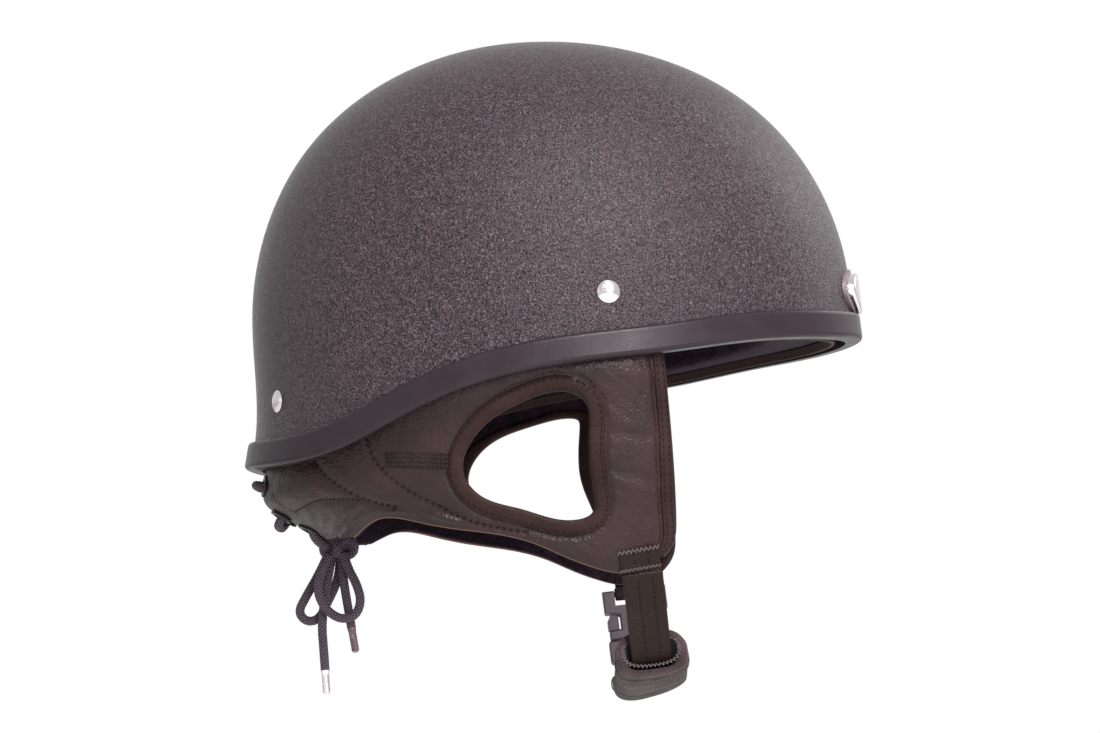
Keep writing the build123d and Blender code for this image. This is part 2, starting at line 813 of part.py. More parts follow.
# Aglets are crimped on the two ends
aglet_lengths = {"long": aglet_long, "short": aglet_short}
for name, length in aglet_lengths.items():
    points = bow_routes[f"lace_end_{name}"]
    heading = Vector(points[-1]) - Vector(points[-2])
    with BuildPart() as aglet:
        with BuildSketch(Plane.XZ):
            with BuildLine():
                Polyline(
                    (0, 0), (lace / 2, 0), (aglet_radius, lace / 2),
                    (aglet_radius, length - aglet_radius / 2), (aglet_radius / 2, length), (0, length),
                    close=True,
                )
            make_face()
        revolve(axis=Axis.Z)
    with BuildPart() as aglet_placed:
        with Locations(Plane(origin=points[-1], z_dir=heading)):
            add(aglet.part)
    aglet_placed.part.label = f"aglet_{name}"
    export_step(aglet_placed.part, f"parts/aglet_{name}.step")

# Side-release buckle

# Its own plane: X along the cap, Y up the buckle and Z toward the head, in line with the swing
latch_drop = shoulder_length + window_length
latch_turn = atan2(fold.Y - bar_centre.Y + latch_drop, bar_centre.X - fold.X)
buckle_up = leftward * sin(latch_turn) + strap_plane.y_dir * cos(latch_turn)
buckle_plane = Plane(
    origin=strap_plane.from_local_coords(bar_centre), x_dir=across, z_dir=across.cross(buckle_up)
)
half = buckle_width / 2
waist = half - window_depth
cavity_half = buckle_thickness / 2 - buckle_plate
shoulder_y = -shoulder_length
latch_y = -latch_drop
mouth_y = latch_y - mouth_length
mouth_half = half - mouth_inset
mouth_bore = mouth_half - mouth_wall
eye_half = strap_width / 2 + arm_play


def slab(thickness, mode=Mode.ADD):
    """The last sketch on the buckle's plane, thickened to both sides."""
    return extrude(amount=thickness / 2, both=True, mode=mode)


# Female half: two plates round a cavity, with side windows above the mouth
with BuildPart() as buckle_female:
    with BuildSketch(buckle_plane):
        with BuildLine():
            Polyline(
                (0, bar_half), (half, bar_half), (half, shoulder_y), (waist, shoulder_y - buckle_rounding),
                (waist, latch_y + arm_play), (mouth_half, latch_y), (mouth_half, mouth_y), (0, mouth_y),
            )
            mirror(about=Plane.YZ)
        make_face()
    slab(buckle_thickness)
    chamfer(buckle_female.faces().filter_by(buckle_plane).edges(), buckle_rounding / 2)
    with BuildSketch(buckle_plane):
        with Locations((0, -bar_half - slot_height / 2)):
            Rectangle(2 * eye_half, slot_height)
    slab(2 * buckle_thickness, Mode.SUBTRACT)
    with BuildSketch(buckle_plane):
        with Locations((0, bar_half)):
            Rectangle(2 * eye_half, 4 * bar_half)
    slab(2 * buckle_thickness, Mode.SUBTRACT)
    with BuildSketch(buckle_plane):
        with BuildLine():
            Polyline(
                (0, shoulder_y - arm_play), (half + overrun, shoulder_y - arm_play),
                (half + overrun, latch_y), (mouth_bore, latch_y),
                (mouth_bore, mouth_y - overrun), (0, mouth_y - overrun),
            )
            mirror(about=Plane.YZ)
        make_face()
    slab(2 * cavity_half, Mode.SUBTRACT)
    with BuildSketch(Plane(origin=buckle_plane.origin, x_dir=buckle_plane.z_dir, z_dir=across)):
        Circle(bar_half)
    extrude(amount=eye_half + fit_gap, both=True)
buckle_female.part.label = "buckle_female"
export_step(buckle_female.part, "parts/buckle_female.step")

# Male half: a base with the strap's bar, a guide prong and pockets for the two release arms
base_y = mouth_y - arm_play
foot_y = base_y - male_length
male_bar_y = foot_y + bar_half
male_half = half - ridge / 4
pivot_y = base_y - arm_pivot_depth
prong_tip_y = shoulder_y - 2 * arm_play
stem_inner = arm_pivot_out - arm_width / 2 + ridge / 4
stem_outer = stem_inner + arm_width
with BuildPart() as buckle_male:
    with BuildSketch(buckle_plane):
        with Locations((0, (base_y + foot_y) / 2)):
            RectangleRounded(2 * male_half, male_length, buckle_rounding)
    slab(male_thickness)
    chamfer(buckle_male.faces().filter_by(buckle_plane).edges(), buckle_rounding / 2)
    with BuildSketch(buckle_plane):
        with Locations((0, (base_y + prong_tip_y) / 2 - overrun / 2)):
            Rectangle(2 * prong_half, prong_tip_y - base_y + overrun)
    slab(2 * (cavity_half - fit_gap))
    with BuildSketch(buckle_plane):
        with Locations((0, foot_y)):
            Rectangle(2 * eye_half, 2 * (2 * bar_half + strap_slot))
    slab(2 * buckle_thickness, Mode.SUBTRACT)
    with BuildSketch(Plane(
        origin=buckle_plane.from_local_coords((0, male_bar_y)), x_dir=buckle_plane.z_dir, z_dir=across
    )):
        Circle(bar_half)
    extrude(amount=eye_half + fit_gap, both=True)
    pocket_out = (stem_inner + stem_outer - arm_width / 3) / 2
    pocket_top = base_y + overrun
    for side in (-1, 1):
        with BuildSketch(buckle_plane):
            with Locations((side * arm_pivot_out, pivot_y)):
                Circle(arm_pivot_radius + fit_gap)
            with Locations((side * pocket_out, (pivot_y + pocket_top) / 2)):
                Rectangle(arm_width * 5 / 3, pocket_top - pivot_y)
        slab(2 * (cavity_half - fit_gap / 3), Mode.SUBTRACT)
buckle_male.part.label = "buckle_male"
export_step(buckle_male.part, "parts/buckle_male.step")

# Release arms: a stem from the pivot and a head whose shoulder catches behind the mouth
head_y = latch_y + arm_play
head_top_y = shoulder_y - 3 * arm_play
head_outer = half - 2 * arm_play
for name, side in (("front", 1), ("rear", -1)):
    with BuildPart() as arm:
        with BuildSketch(buckle_plane):
            with Locations((side * arm_pivot_out, pivot_y)):
                Circle(arm_pivot_radius)
            with BuildLine():
                Polyline([(side * x, y) for x, y in (
                    (stem_inner, pivot_y), (stem_outer, pivot_y), (stem_outer, head_y),
                    (head_outer, head_y), (head_outer, head_top_y - arm_width),
                    (stem_outer + ridge, head_top_y), (stem_inner, head_top_y),
                )], close=True)
            make_face()
        slab(2 * (cavity_half - fit_gap))
    arm.part.label = f"release_arm_{name}"
    export_step(arm.part, f"parts/release_arm_{name}.step")

# Webbing from the left side of the leather round the female half's bar
ring_gap = fit_gap
with BuildPart() as buckle_webbing:
    add(collar(fit_gap / 3 + webbing))
    add(tab_back, mode=Mode.SUBTRACT)
    add(tab_prism(1, bar_centre.Y + bar_half + ring_gap, 0, strap_width), mode=Mode.INTERSECT)
    with BuildSketch(Plane(origin=buckle_plane.origin, x_dir=buckle_plane.z_dir, z_dir=across)):
        Circle(bar_half + ring_gap + webbing)
        Circle(bar_half + ring_gap, mode=Mode.SUBTRACT)
    extrude(amount=strap_width / 2, both=True)
buckle_webbing.part.label = "buckle_webbing"
export_step(buckle_webbing.part, "parts/buckle_webbing.step")

# Chin strap: from the fold under the right tab, below the chin and up round the male half's bar
male_bar = strap_plane.to_local_coords(buckle_plane.from_local_coords((0, male_bar_y)))
male_bar = Vector(male_bar.X, male_bar.Y)
wrap_outer = bar_half + ring_gap + strap_thickness
strap_points = [
    Vector(fold.X, fold.Y), Vector(-bend_out, -bend_drop), Vector(0, -chin_sag),
    Vector(buckle_bend_out, -buckle_bend_drop), male_bar,
]
last_run = (strap_points[-1] - strap_points[-2]).normalized()
strap_points[-1] = male_bar - last_run * (wrap_outer - strap_thickness / 2)
strap_radii = [bend_radius, chin_radius, buckle_bend_radius]
with BuildPart() as chin_strap:
    with BuildSketch(strap_plane):
        with BuildLine():
            FilletPolyline(*strap_points, radius=strap_radii)
        trace(line_width=strap_thickness)
        with Locations((fold.X, fold.Y)):
            Circle(strap_thickness / 2)
        with Locations((male_bar.X, male_bar.Y)):
            Circle(wrap_outer)
            Circle(bar_half + ring_gap, mode=Mode.SUBTRACT)
    extrude(amount=strap_width / 2, both=True)
chin_strap.part.label = "chin_strap"
export_step(chin_strap.part, "parts/chin_strap.step")

# Chin pad: a padded sleeve round the strap
first_run = (strap_points[1] - strap_points[0]).normalized()
pad_points = [strap_points[0] + first_run * pad_start] + strap_points[1:4]
pad_points.append(strap_points[-1] - last_run * pad_lead)
with BuildPart() as chin_pad:
    with BuildSketch(strap_plane):
        with BuildLine():
            FilletPolyline(*pad_points, radius=strap_radii)
        trace(line_width=pad_thickness)
    extrude(amount=pad_width / 2, both=True)
    fillet(chin_pad.edges(), radius=pad_rounding)
    with BuildSketch(strap_plane):
        with BuildLine():
            FilletPolyline(*strap_points, radius=strap_radii)
        trace(line_width=strap_thickness + 2 * arm_play)
    extrude(amount=strap_width / 2 + arm_play, both=True, mode=Mode.SUBTRACT)
chin_pad.part.label = "chin_pad"
export_step(chin_pad.part, "parts/chin_pad.step")
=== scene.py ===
"""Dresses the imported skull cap: leather, fleece, lace, strap and finishes round the fixed solids.

Lengths in the shape functions are millimetres in the cap's own frame, +X at the brow, +Z up and
-Y at the wearer's right; build() turns them to metres as it writes each mesh.
"""

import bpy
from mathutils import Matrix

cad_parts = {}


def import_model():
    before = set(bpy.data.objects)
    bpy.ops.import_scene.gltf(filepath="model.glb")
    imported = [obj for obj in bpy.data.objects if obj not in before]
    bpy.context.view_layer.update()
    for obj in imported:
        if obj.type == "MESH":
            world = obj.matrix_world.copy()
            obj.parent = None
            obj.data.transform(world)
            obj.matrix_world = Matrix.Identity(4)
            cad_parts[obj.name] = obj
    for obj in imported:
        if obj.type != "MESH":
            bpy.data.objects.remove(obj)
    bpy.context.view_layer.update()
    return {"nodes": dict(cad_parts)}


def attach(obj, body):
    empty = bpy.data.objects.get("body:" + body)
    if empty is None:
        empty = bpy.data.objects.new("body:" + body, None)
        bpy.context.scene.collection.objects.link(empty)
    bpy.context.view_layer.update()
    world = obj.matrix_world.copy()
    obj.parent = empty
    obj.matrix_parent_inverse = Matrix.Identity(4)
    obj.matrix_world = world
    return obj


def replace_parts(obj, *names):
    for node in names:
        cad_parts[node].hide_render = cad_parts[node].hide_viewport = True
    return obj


bl_info = {
    "name": "Jockey Skull Cap Dressing",
    "version": (1, 0, 0),
    "blender": (4, 5, 0),
    "location": "3D View > Sidebar > Skull Cap",
    "description": "Leather sides, padding, lacing, chin strap, finishes and studio for a riding skull cap",
    "category": "Object",
}

import math

import bmesh
import bpy
import numpy as np
from mathutils import Vector

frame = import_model()
MM = 0.001


# ---------------------------------------------------------------- measures shared with the solids

SHELL = (146.5, 132.0, 107.0, 163.4)       # front, rear, half width and height of the egg
LINER = (110.0, 99.0, 84.0, 135.0)         # the same, of the foam's inner face
UP_POWER, ROUND_POWER = 2.86, 1.97         # how square the egg is in its side view and in its level rings
SKIRT, FLARE = 48.0, 0.087                 # depth of the flared skirt, and how much wider it ends
ORIGIN_X, ORIGIN_Z = -3.2, -26.0           # middle of the widest level
BROW_LIFT = math.radians(5.2)              # the egg is turned up at the brow
COS, SIN = math.cos(BROW_LIFT), math.sin(BROW_LIFT)
RIM_DROP, DROP = 62.0, 110.0               # lengths that the rim's and the leather's downward shares are of
SIDE_STEP, SIDE_INSET = 13.0, 5.9          # levels of the leather's form above the widest one, and its inset
LAYERS = 2.5 + 1.4                         # thickness of a side's leather and fleece
EAR_BAND = 7.4                             # width of the band round an ear hole
SIDES = (("right", 1), ("left", -1))       # the wearer's, and what the right side's shape is mirrored by

# Outlines in shares of the shell's front or rear length and of a drop
RIM = np.array([
    (1.045, 0.02), (0.915, -0.04), (0.655, -0.115), (0.382, -0.225), (0.164, -0.295),
    (-0.083, -0.39), (-0.28, -0.51), (-0.447, -0.66), (-0.614, -0.835), (-0.78, -0.955),
    (-0.973, -0.985), (-1.12, -0.945),
])
# Level, front, rear and half width of the leather's form, as shares of DROP and of the shell's own
COLLAR = np.array([
    (-1.1, 0.874, 0.38, 0.593), (-0.955, 0.887, 0.455, 0.635), (-0.818, 0.898, 0.535, 0.682),
    (-0.68, 0.908, 0.625, 0.734), (-0.565, 0.918, 0.73, 0.78), (-0.46, 0.928, 0.87, 0.822),
    (-0.355, 0.935, 0.985, 0.857), (-0.236, 0.945, 0.978, 0.8925), (-0.118, 0.954, 0.964, 0.923),
])
HEM = np.array([
    (-0.66, -0.84), (-0.56, -0.775), (-0.43, -0.792), (-0.3, -0.822), (-0.16, -0.845),
    (-0.03, -0.885), (0.06, -0.935), (0.13, -0.97), (0.22, -0.998), (0.29, -0.99),
    (0.35, -0.945), (0.388, -0.87), (0.394, -0.78), (0.383, -0.5), (0.358, -0.14),
])
EAR = np.array([
    (-0.27, -0.605), (-0.213, -0.44), (-0.15, -0.378), (-0.05, -0.32), (0.055, -0.289),
    (0.118, -0.325), (0.132, -0.44), (0.143, -0.66), (0.14, -0.765), (0.095, -0.79),
    (-0.08, -0.748), (-0.22, -0.69),
])
FRONT_SEAM = np.array([
    (0.318, -0.13), (0.34, -0.48), (0.35, -0.79), (0.349, -0.875), (0.32, -0.935),
])

# Stitched lines on the leather, in the side view
SEAM_REAR = [
    (-104.0, -59.6), (-99.4, -65.6), (-92.3, -71.2), (-81.6, -77.0), (-68.0, -80.8), (-52.0, -84.2),
]
SEAM_WING = [
    (-79.7, -51.4), (-77.2, -57.9), (-67.6, -69.0), (-58.1, -75.6), (-48.5, -80.4), (-38.0, -85.6),
    (-24.9, -89.8), (-9.0, -92.4),
]
SEAM_ARC = [(-116.5, -81.6), (-109.4, -79.2), (-102.8, -77.2), (-94.6, -76.8), (-84.0, -77.4)]
TACK = [(-70.5, -60.6), (-42.6, -61.9)]

# Where the right anchor straps' rivets stand in the side view, and how squarely the shell faces there
RIVETS = [(28.3, 11.6, 0.99), (-121.5, -31.8, 0.45)]

# The lace, as the solids have it
LACE_ROUTES = {
    "lace_loop_right": [
        (-94.6, -4.2, -98), (-92.4, -4.6, -105), (-88.2, -4.8, -112.4), (-86, -4.9, -120.4),
        (-89, -4.9, -127.4), (-96.6, -4.8, -128.4), (-103.6, -4.7, -122.6), (-106.6, -4.7, -114.4),
        (-104.4, -4.5, -106.2), (-101, -4.2, -98.6),
    ],
    "lace_loop_left": [
        (-102, 4.2, -98), (-104.6, 4.5, -103.8), (-108, 4.6, -110.4), (-112.4, 4.9, -118),
        (-115.9, 5, -124.8), (-112, 5, -129.4), (-106.1, 5, -128.2), (-102.4, 4.9, -120.4),
        (-98.4, 4.9, -112.4), (-96.8, 4.7, -104.6), (-96.6, 4.2, -98),
    ],
    "lace_end_long": [
        (-100, 0, -99), (-101.4, 0, -107), (-103.2, 0, -118), (-104.6, 0, -131), (-103.6, 0, -142),
        (-102.9, 0, -151.5),
    ],
    "lace_end_short": [(-95.4, 0, -99), (-95.2, 0, -107), (-93.2, 0, -119.4), (-90.9, 0, -132.1)],
}
KNOT = np.array((-97.0, 0.0, -95.5))
PLAIT, YARNS = 1.8, 6                      # length of a whole plait, and yarns each way round the lace
EYELET_ROWS = (-0.62, -0.745, -0.8)        # heights as shares of DROP
EYELET_ASIDE, FACING_FACE = 16.0, 1.1      # from the middle of the back, and the facing past the form

# The chin strap's own plane: across the strap, toward the wearer's left, and up
TILT, SKEW = math.radians(7), math.radians(2.1)
STRAP_ORIGIN = np.array((38.8, 0.0, -100.0))
ACROSS = np.array((math.cos(SKEW) * math.cos(TILT), math.sin(SKEW), math.cos(SKEW) * math.sin(TILT)))
LEFTWARD = np.array((-math.sin(SKEW) * math.cos(TILT), math.cos(SKEW), -math.sin(SKEW) * math.sin(TILT)))
UPWARD = np.cross(ACROSS, LEFTWARD)
TAB_ASIDE, TAB_LOW = 57.0, -9.65           # the tabs from the middle, and where the right one ends
TAB_SHIFT = -TAB_ASIDE * math.tan(SKEW) * math.cos(TILT)
STRAP_WIDTH, STRAP_THICK, WEB_THICK = 18.0, 1.8, 1.5
STRAP_SQUARE = 0.35                        # roundness of the strap's section, from 0 for an oblong to 1
FOLD = (-71.6253, -10.9)
FEMALE_BAR = (71.951, -13.3)
MALE_BAR = (67.55, -44.895)
STRAP_CORNERS = [(-57.0, -49.0), (0.0, -58.0), (60.0, -54.0)]
STRAP_RADII = [14.0, 110.0, 8.0]
BAR_WRAP = 1.3 + 0.3                       # the buckle bar's radius and the room round it
STITCH_LINES, STRAP_PITCH = (-2.2, 4.2), 2.4   # the strap's two rows, from its middle


def linear(code):
    """An sRGB hex colour as the linear values that the shaders take."""
    parts = [int(code[i:i + 2], 16) / 255 for i in (1, 3, 5)]
    return tuple(c / 12.92 if c <= 0.04045 else ((c + 0.055) / 1.055) ** 2.4 for c in parts)


# ---------------------------------------------------------------- curves and surfaces

def full_turn(count):
    """Angles at even steps round a whole turn, the last of them one step short of the first."""
    return np.arange(count) / count * 2 * np.pi


def lengths_along(points):
    """How far along a chain each of its points lies."""
    return np.concatenate(([0], np.cumsum(np.linalg.norm(np.diff(points, axis=0), axis=1))))


def unit(vectors):
    """Vectors brought to a length of one."""
    return vectors / np.linalg.norm(vectors, axis=-1, keepdims=True)


def bell(gap, width):
    """One at no gap, falling as the exponential of minus the square of the gap over the width."""
    return np.exp(-(gap / width) ** 2)


def spline(knots, values, at):
    """The natural cubic spline through (knot, value) pairs: smooth, with no bend at its two ends."""
    k, v, at = np.asarray(knots, float), np.asarray(values, float), np.asarray(at, float)
    step = np.diff(k)
    rise = np.diff(v) / step
    inner = np.arange(1, len(k) - 1)
    rows = np.eye(len(k))
    rows[inner, inner - 1], rows[inner, inner], rows[inner, inner + 1] = (
        step[:-1], 2 * (step[:-1] + step[1:]), step[1:])
    right = np.zeros(len(k))
    right[1:-1] = 6 * np.diff(rise)
    bend = np.linalg.solve(rows, right)
    j = np.clip(np.searchsorted(k, at) - 1, 0, len(k) - 2)
    run, width = at - k[j], step[j]
    return (v[j] + run * (rise[j] - width * (2 * bend[j] + bend[j + 1]) / 6)
            + run ** 2 * bend[j] / 2 + run ** 3 * (bend[j + 1] - bend[j]) / (6 * width))


def even(points, count, closed=False):
    """Points at even distances along a chain of straight runs."""
    points = np.asarray(points, float)
    if closed:
        points = np.vstack((points, points[:1]))
    place = lengths_along(points)
    at = np.linspace(0, place[-1], count + 1)[:-1] if closed else np.linspace(0, place[-1], count)
    return np.stack([np.interp(at, place, column) for column in points.T], -1)


def curve(points, count):
    """A smooth curve through the points, at even distances: a cubic spline over the chord lengths."""
    points = np.asarray(points, float)
    place = lengths_along(points)
    fine = np.linspace(0, place[-1], 8 * count)
    return even(np.stack([spline(place, column, fine) for column in points.T], -1), count)


def ring(points, count):
    """A smooth closed curve through the points: the spline runs three points past its own ends."""
    points = np.asarray(points, float)
    wrapped = np.vstack((points[-3:], points, points[:4]))
    place = lengths_along(wrapped)
    fine = np.linspace(place[3], place[3 + len(points)], 8 * count + 1)[:-1]
    return even(np.stack([spline(place, column, fine) for column in wrapped.T], -1), count, closed=True)


def headings(points, closed=False):
    """Unit directions along a chain, from each point's two neighbours."""
    if closed:
        run = np.roll(points, -1, 0) - np.roll(points, 1, 0)
    else:
        run = np.gradient(points, axis=0)
    return unit(run)


def filleted(corners, radii, count):
    """A chain of straight runs whose corners are arcs of the given radii, at even distances: each arc's
    middle lies on the line that halves its corner."""
    corners = np.asarray(corners, float)
    chain = [corners[:1]]
    for before, corner, after, radius in zip(corners, corners[1:], corners[2:], radii):
        back, ahead = unit(before - corner), unit(after - corner)
        half = math.acos(np.clip(back @ ahead, -1, 1)) / 2
        reach = radius / math.tan(half)
        middle = corner + unit(back + ahead) * radius / math.sin(half)
        first, last = corner + back * reach - middle, corner + ahead * reach - middle
        share = np.linspace(0, 1, 40)[:, None]
        turn = math.pi - 2 * half
        arc = np.sin((1 - share) * turn) * first + np.sin(share * turn) * last
        chain.append(middle + arc / math.sin(turn))
    chain.append(corners[-1:])
    return even(np.vstack(chain), count)


def side_view(shares, drop):
    """Side-view points from shares of the shell's half lengths and of a drop."""
    shares = np.asarray(shares, float)
    length = np.where(shares[:, 0] > 0, SHELL[0], SHELL[1])
    return np.stack((shares[:, 0] * length, shares[:, 1] * drop), -1)


def shell_frame(x, z):
    """How far ahead of the egg's middle, and how far above its widest level, a side-view point lies."""
    return ((x - ORIGIN_X) * COS + (z - ORIGIN_Z) * SIN, (z - ORIGIN_Z) * COS - (x - ORIGIN_X) * SIN)


def world(ahead, y, level):
    """A point of the egg's frame in the cap's frame."""
    ahead, y, level = np.broadcast_arrays(ahead, y, level)
    return np.stack((ORIGIN_X + ahead * COS - level * SIN, y, ORIGIN_Z + ahead * SIN + level * COS), -1)


def girth(share):
    """A dome's width at a share of its height: the superellipse that the shell follows."""
    return (1 - np.clip(share, 0, 1) ** UP_POWER) ** (1 / ROUND_POWER)


def dome_share(level, height):
    """A dome's girth above the widest level, and its flared skirt below: a spline whose first two points
    above that level are the dome's own, which keeps the slope."""
    above = (0.3, 0.55)
    knots = [-SKIRT, -SKIRT / 2, 0, *(share * height for share in above)]
    values = [1 + FLARE, 1 + 0.46 * FLARE, 1, *(girth(share) for share in above)]
    return np.where(level < 0, spline(knots, values, level), girth(level / height))


def dome_at(turn, level, sizes):
    """Half an ellipse ahead and half behind, at a turn from the brow toward the wearer's right."""
    front, rear, half, height = sizes
    share = dome_share(level, height)
    ahead = np.where(np.cos(turn) > 0, front, rear) * share * np.cos(turn)
    return world(ahead, -half * share * np.sin(turn), level)


def grown(sizes, outset):
    """An egg's sizes, all longer by the same outset."""
    return tuple(size + outset for size in sizes)


def rim_height(x, lift):
    """Height of the rim line at x, the line moved square to itself by lift."""
    line = side_view(RIM, RIM_DROP)
    run = np.vstack((line[:1], line[:-1])) - np.vstack((line[1:], line[-1:]))
    length = np.linalg.norm(run, axis=1)
    moved = line + lift * np.stack((-run[:, 1], run[:, 0]), -1) / length[:, None]
    return spline(moved[::-1, 0], moved[::-1, 1], x)


def closed_in(level, gap):
    """The level at which a gap is nothing: the level moves by nine tenths of the gap, fourteen times."""
    for _ in range(14):
        level = level + 0.9 * gap(level)
    return level


def level_at_rim(turn, lift, sizes):
    """The level at which a dome's side crosses the lifted rim line."""
    def gap(level):
        point = dome_at(turn, level, sizes)
        return rim_height(point[..., 0], lift) - point[..., 2]
    return closed_in(np.full(np.shape(turn), -20.0), gap)


def collar_sizes(level):
    """Front, rear and half width of the leather's form at a level, by splines through its sections: its
    own below the widest level, and above it the shell's with an inset."""
    low = np.column_stack((COLLAR[:, 0] * DROP, COLLAR[:, 1:] * SHELL[:3]))
    top = np.arange(5) * SIDE_STEP
    high = np.column_stack([top] + [girth(top / SHELL[3]) * size - SIDE_INSET for size in SHELL[:3]])
    table = np.vstack((low, high))
    return [spline(table[:, 0], table[:, i], level) for i in (1, 2, 3)]


def collar_side(x, z, out=0.0):
    """The leather's form seen square from the wearer's right, grown by out: each level is half an ellipse."""
    x, z, out = np.broadcast_arrays(np.asarray(x, float), z, out)
    ahead, level = shell_frame(x, z)
    front, rear, half = collar_sizes(level)
    length = np.where(ahead > 0, front, rear) + out
    return np.stack((x, -(half + out) * np.sqrt(np.clip(1 - (ahead / length) ** 2, 0, 1)), z), -1)


def collar_turn(turn, level, out=0.0):
    """The leather's form at a turn from the brow and a level."""
    front, rear, half = collar_sizes(level)
    length = np.where(np.cos(turn) > 0, front, rear) + out
    return world(length * np.cos(turn), -(half + out) * np.sin(turn), level)


def collar_back(y, level, out=0.0):
    """The leather's form seen square from behind."""
    _, rear, half = collar_sizes(level)
    return world(-(rear + out) * np.sqrt(np.clip(1 - (y / (half + out)) ** 2, 0, 1)), y, level)


def turn_of(points):
    """(turn, level) of side-view points on the leather's form: the turn's cosine is the share ahead."""
    ahead, level = shell_frame(points[:, 0], points[:, 1])
    front, rear, _ = collar_sizes(level)
    return np.stack((np.arccos(np.clip(ahead / np.where(ahead > 0, front, rear), -1, 1)), level), -1)


def strap_at(x, y, z=0.0):
    """A point of the strap's plane, z across the strap."""
    x, y, z = np.broadcast_arrays(x, y, z)
    return STRAP_ORIGIN + x[..., None] * LEFTWARD + y[..., None] * UPWARD + z[..., None] * ACROSS


def distance(points, line):
    """Distance from each side-view point to the nearest of a chain's points."""
    gap = points[..., None, :] - line
    return np.sqrt((gap ** 2).sum(-1)).min(-1)


# ---------------------------------------------------------------- meshes

def grid_faces(rows, columns, wrap_rows, wrap_columns):
    """Quads that join each grid point to its next neighbours, with their unwrapped (row, column) places."""
    i, j = np.meshgrid(np.arange(rows if wrap_rows else rows - 1),
                       np.arange(columns if wrap_columns else columns - 1), indexing="ij")
    corner = np.stack((np.stack((i, j), -1), np.stack((i + 1, j), -1),
                       np.stack((i + 1, j + 1), -1), np.stack((i, j + 1), -1)), -2).reshape(-1, 4, 2)
    return (corner[..., 0] % rows) * columns + corner[..., 1] % columns, corner


def outward(points, faces, closed):
    """True where the faces already point out: by signed volume, or for an open sheet by the sum over its
    faces of normal times distance from the head's middle, which counts height least."""
    a, b, c = (points[faces[:, k]] for k in (0, 1, 2))
    square = np.cross(b - a, c - a)
    if closed:
        d = points[faces[:, 3]]
        return (a * square).sum() + (a * np.cross(c - a, d - a)).sum() > 0
    head = np.array((0, 0, -60.0))
    return (square * (a - head) * np.array((1, 1, 0.2))).sum() > 0


def build(name, grid, material, slot, wrap=(False, False), body="root", poles=False, uv=(1.0, 1.0),
          closed=None):
    """Writes a grid of points (mm) as a smooth mesh in metres, with a UV map that runs along the grid. Wrap
    says whether its rows and its columns run round, and poles whether an end row is a single point."""
    rows, columns = grid.shape[:2]
    faces, corner = grid_faces(rows, columns, *wrap)
    places = corner / np.array((rows, columns)) * np.array(uv)
    points = grid.reshape(-1, 3)
    closed = all(wrap) or poles if closed is None else closed
    if not outward(points, faces, closed):
        faces, places = faces[:, ::-1], places[:, ::-1]
    mesh = bpy.data.meshes.new(name)
    mesh.vertices.add(len(points))
    mesh.vertices.foreach_set("co", (points * MM).astype(np.float32).ravel())
    mesh.loops.add(faces.size)
    mesh.loops.foreach_set("vertex_index", faces.astype(np.int32).ravel())
    mesh.polygons.add(len(faces))
    mesh.polygons.foreach_set("loop_start", np.arange(0, faces.size, 4, dtype=np.int32))
    mesh.update(calc_edges=True)
    mesh.uv_layers.new(name="UVMap").data.foreach_set("uv", places.astype(np.float32).ravel())
    if poles:
        tidy = bmesh.new()
        tidy.from_mesh(mesh)
        bmesh.ops.remove_doubles(tidy, verts=tidy.verts, dist=2e-5)
        tidy.to_mesh(mesh)
        tidy.free()
    mesh.polygons.foreach_set("use_smooth", np.ones(len(mesh.polygons), bool))
    mesh.validate()
    return place(name, mesh, material, slot, body)


def place(name, mesh, material, slot, body):
    """Puts a finished mesh in the scene with its finish, and on its body."""
    piece = bpy.data.objects.new(name, mesh)
    bpy.context.scene.collection.objects.link(piece)
    mesh.materials.append(material)
    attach(piece, body)
    return piece


def walled(piece, thickness, rounding=0.0, segments=3):
    """Gives an open sheet its wall, inwards from its outer face, and rounds the cut edge."""
    wall = piece.modifiers.new("wall", "SOLIDIFY")
    wall.thickness, wall.offset = thickness * MM, -1
    if rounding:
        edge = piece.modifiers.new("edge", "BEVEL")
        edge.width, edge.segments, edge.limit_method = rounding * MM, segments, "ANGLE"
        edge.angle_limit = math.radians(50)
    return piece


def smoothed(piece, levels=1):
    """Rounds a padded piece's faces off."""
    soft = piece.modifiers.new("soft", "SUBSURF")
    soft.levels = soft.render_levels = levels
    return piece


def superellipse(angle, half_width, half_height, fullness):
    """A rounded oblong: cosine and sine of the angle, each raised to a power below one."""
    c, s = np.cos(angle), np.sin(angle)
    return half_width * np.sign(c) * np.abs(c) ** fullness, half_height * np.sign(s) * np.abs(s) ** fullness


def capped(grid):
    """A swept grid with its two ends drawn to their middles."""
    ends = [np.repeat(grid[k].mean(0)[None, None], grid.shape[1], 1) for k in (0, -1)]
    return np.concatenate((ends[0], grid, ends[1]))


def tube_grid(path, radius, around, closed=False):
    """Circles carried along a path: path + radius * (cosine * side + sine * up), where side and up are square
    to the heading, from the axis that the path runs along least. Open ends are drawn in to points."""
    ahead = headings(path, closed)
    guide = np.zeros_like(ahead)
    guide[:, np.argmin(np.abs(ahead).mean(0))] = 1
    side = unit(np.cross(ahead, guide))
    up = np.cross(side, ahead)
    angle = full_turn(around)
    across, rise = radius * np.cos(angle), radius * np.sin(angle)
    grid = path[:, None] + across[..., None] * side[:, None] + rise[..., None] * up[:, None]
    return grid if closed else capped(grid)


def tube(name, path, radius, material, slot, body="root", around=10):
    """A round tube along an open path."""
    grid = tube_grid(path, radius, around)
    return build(name, grid, material, slot, (False, True), body, poles=True, closed=True)


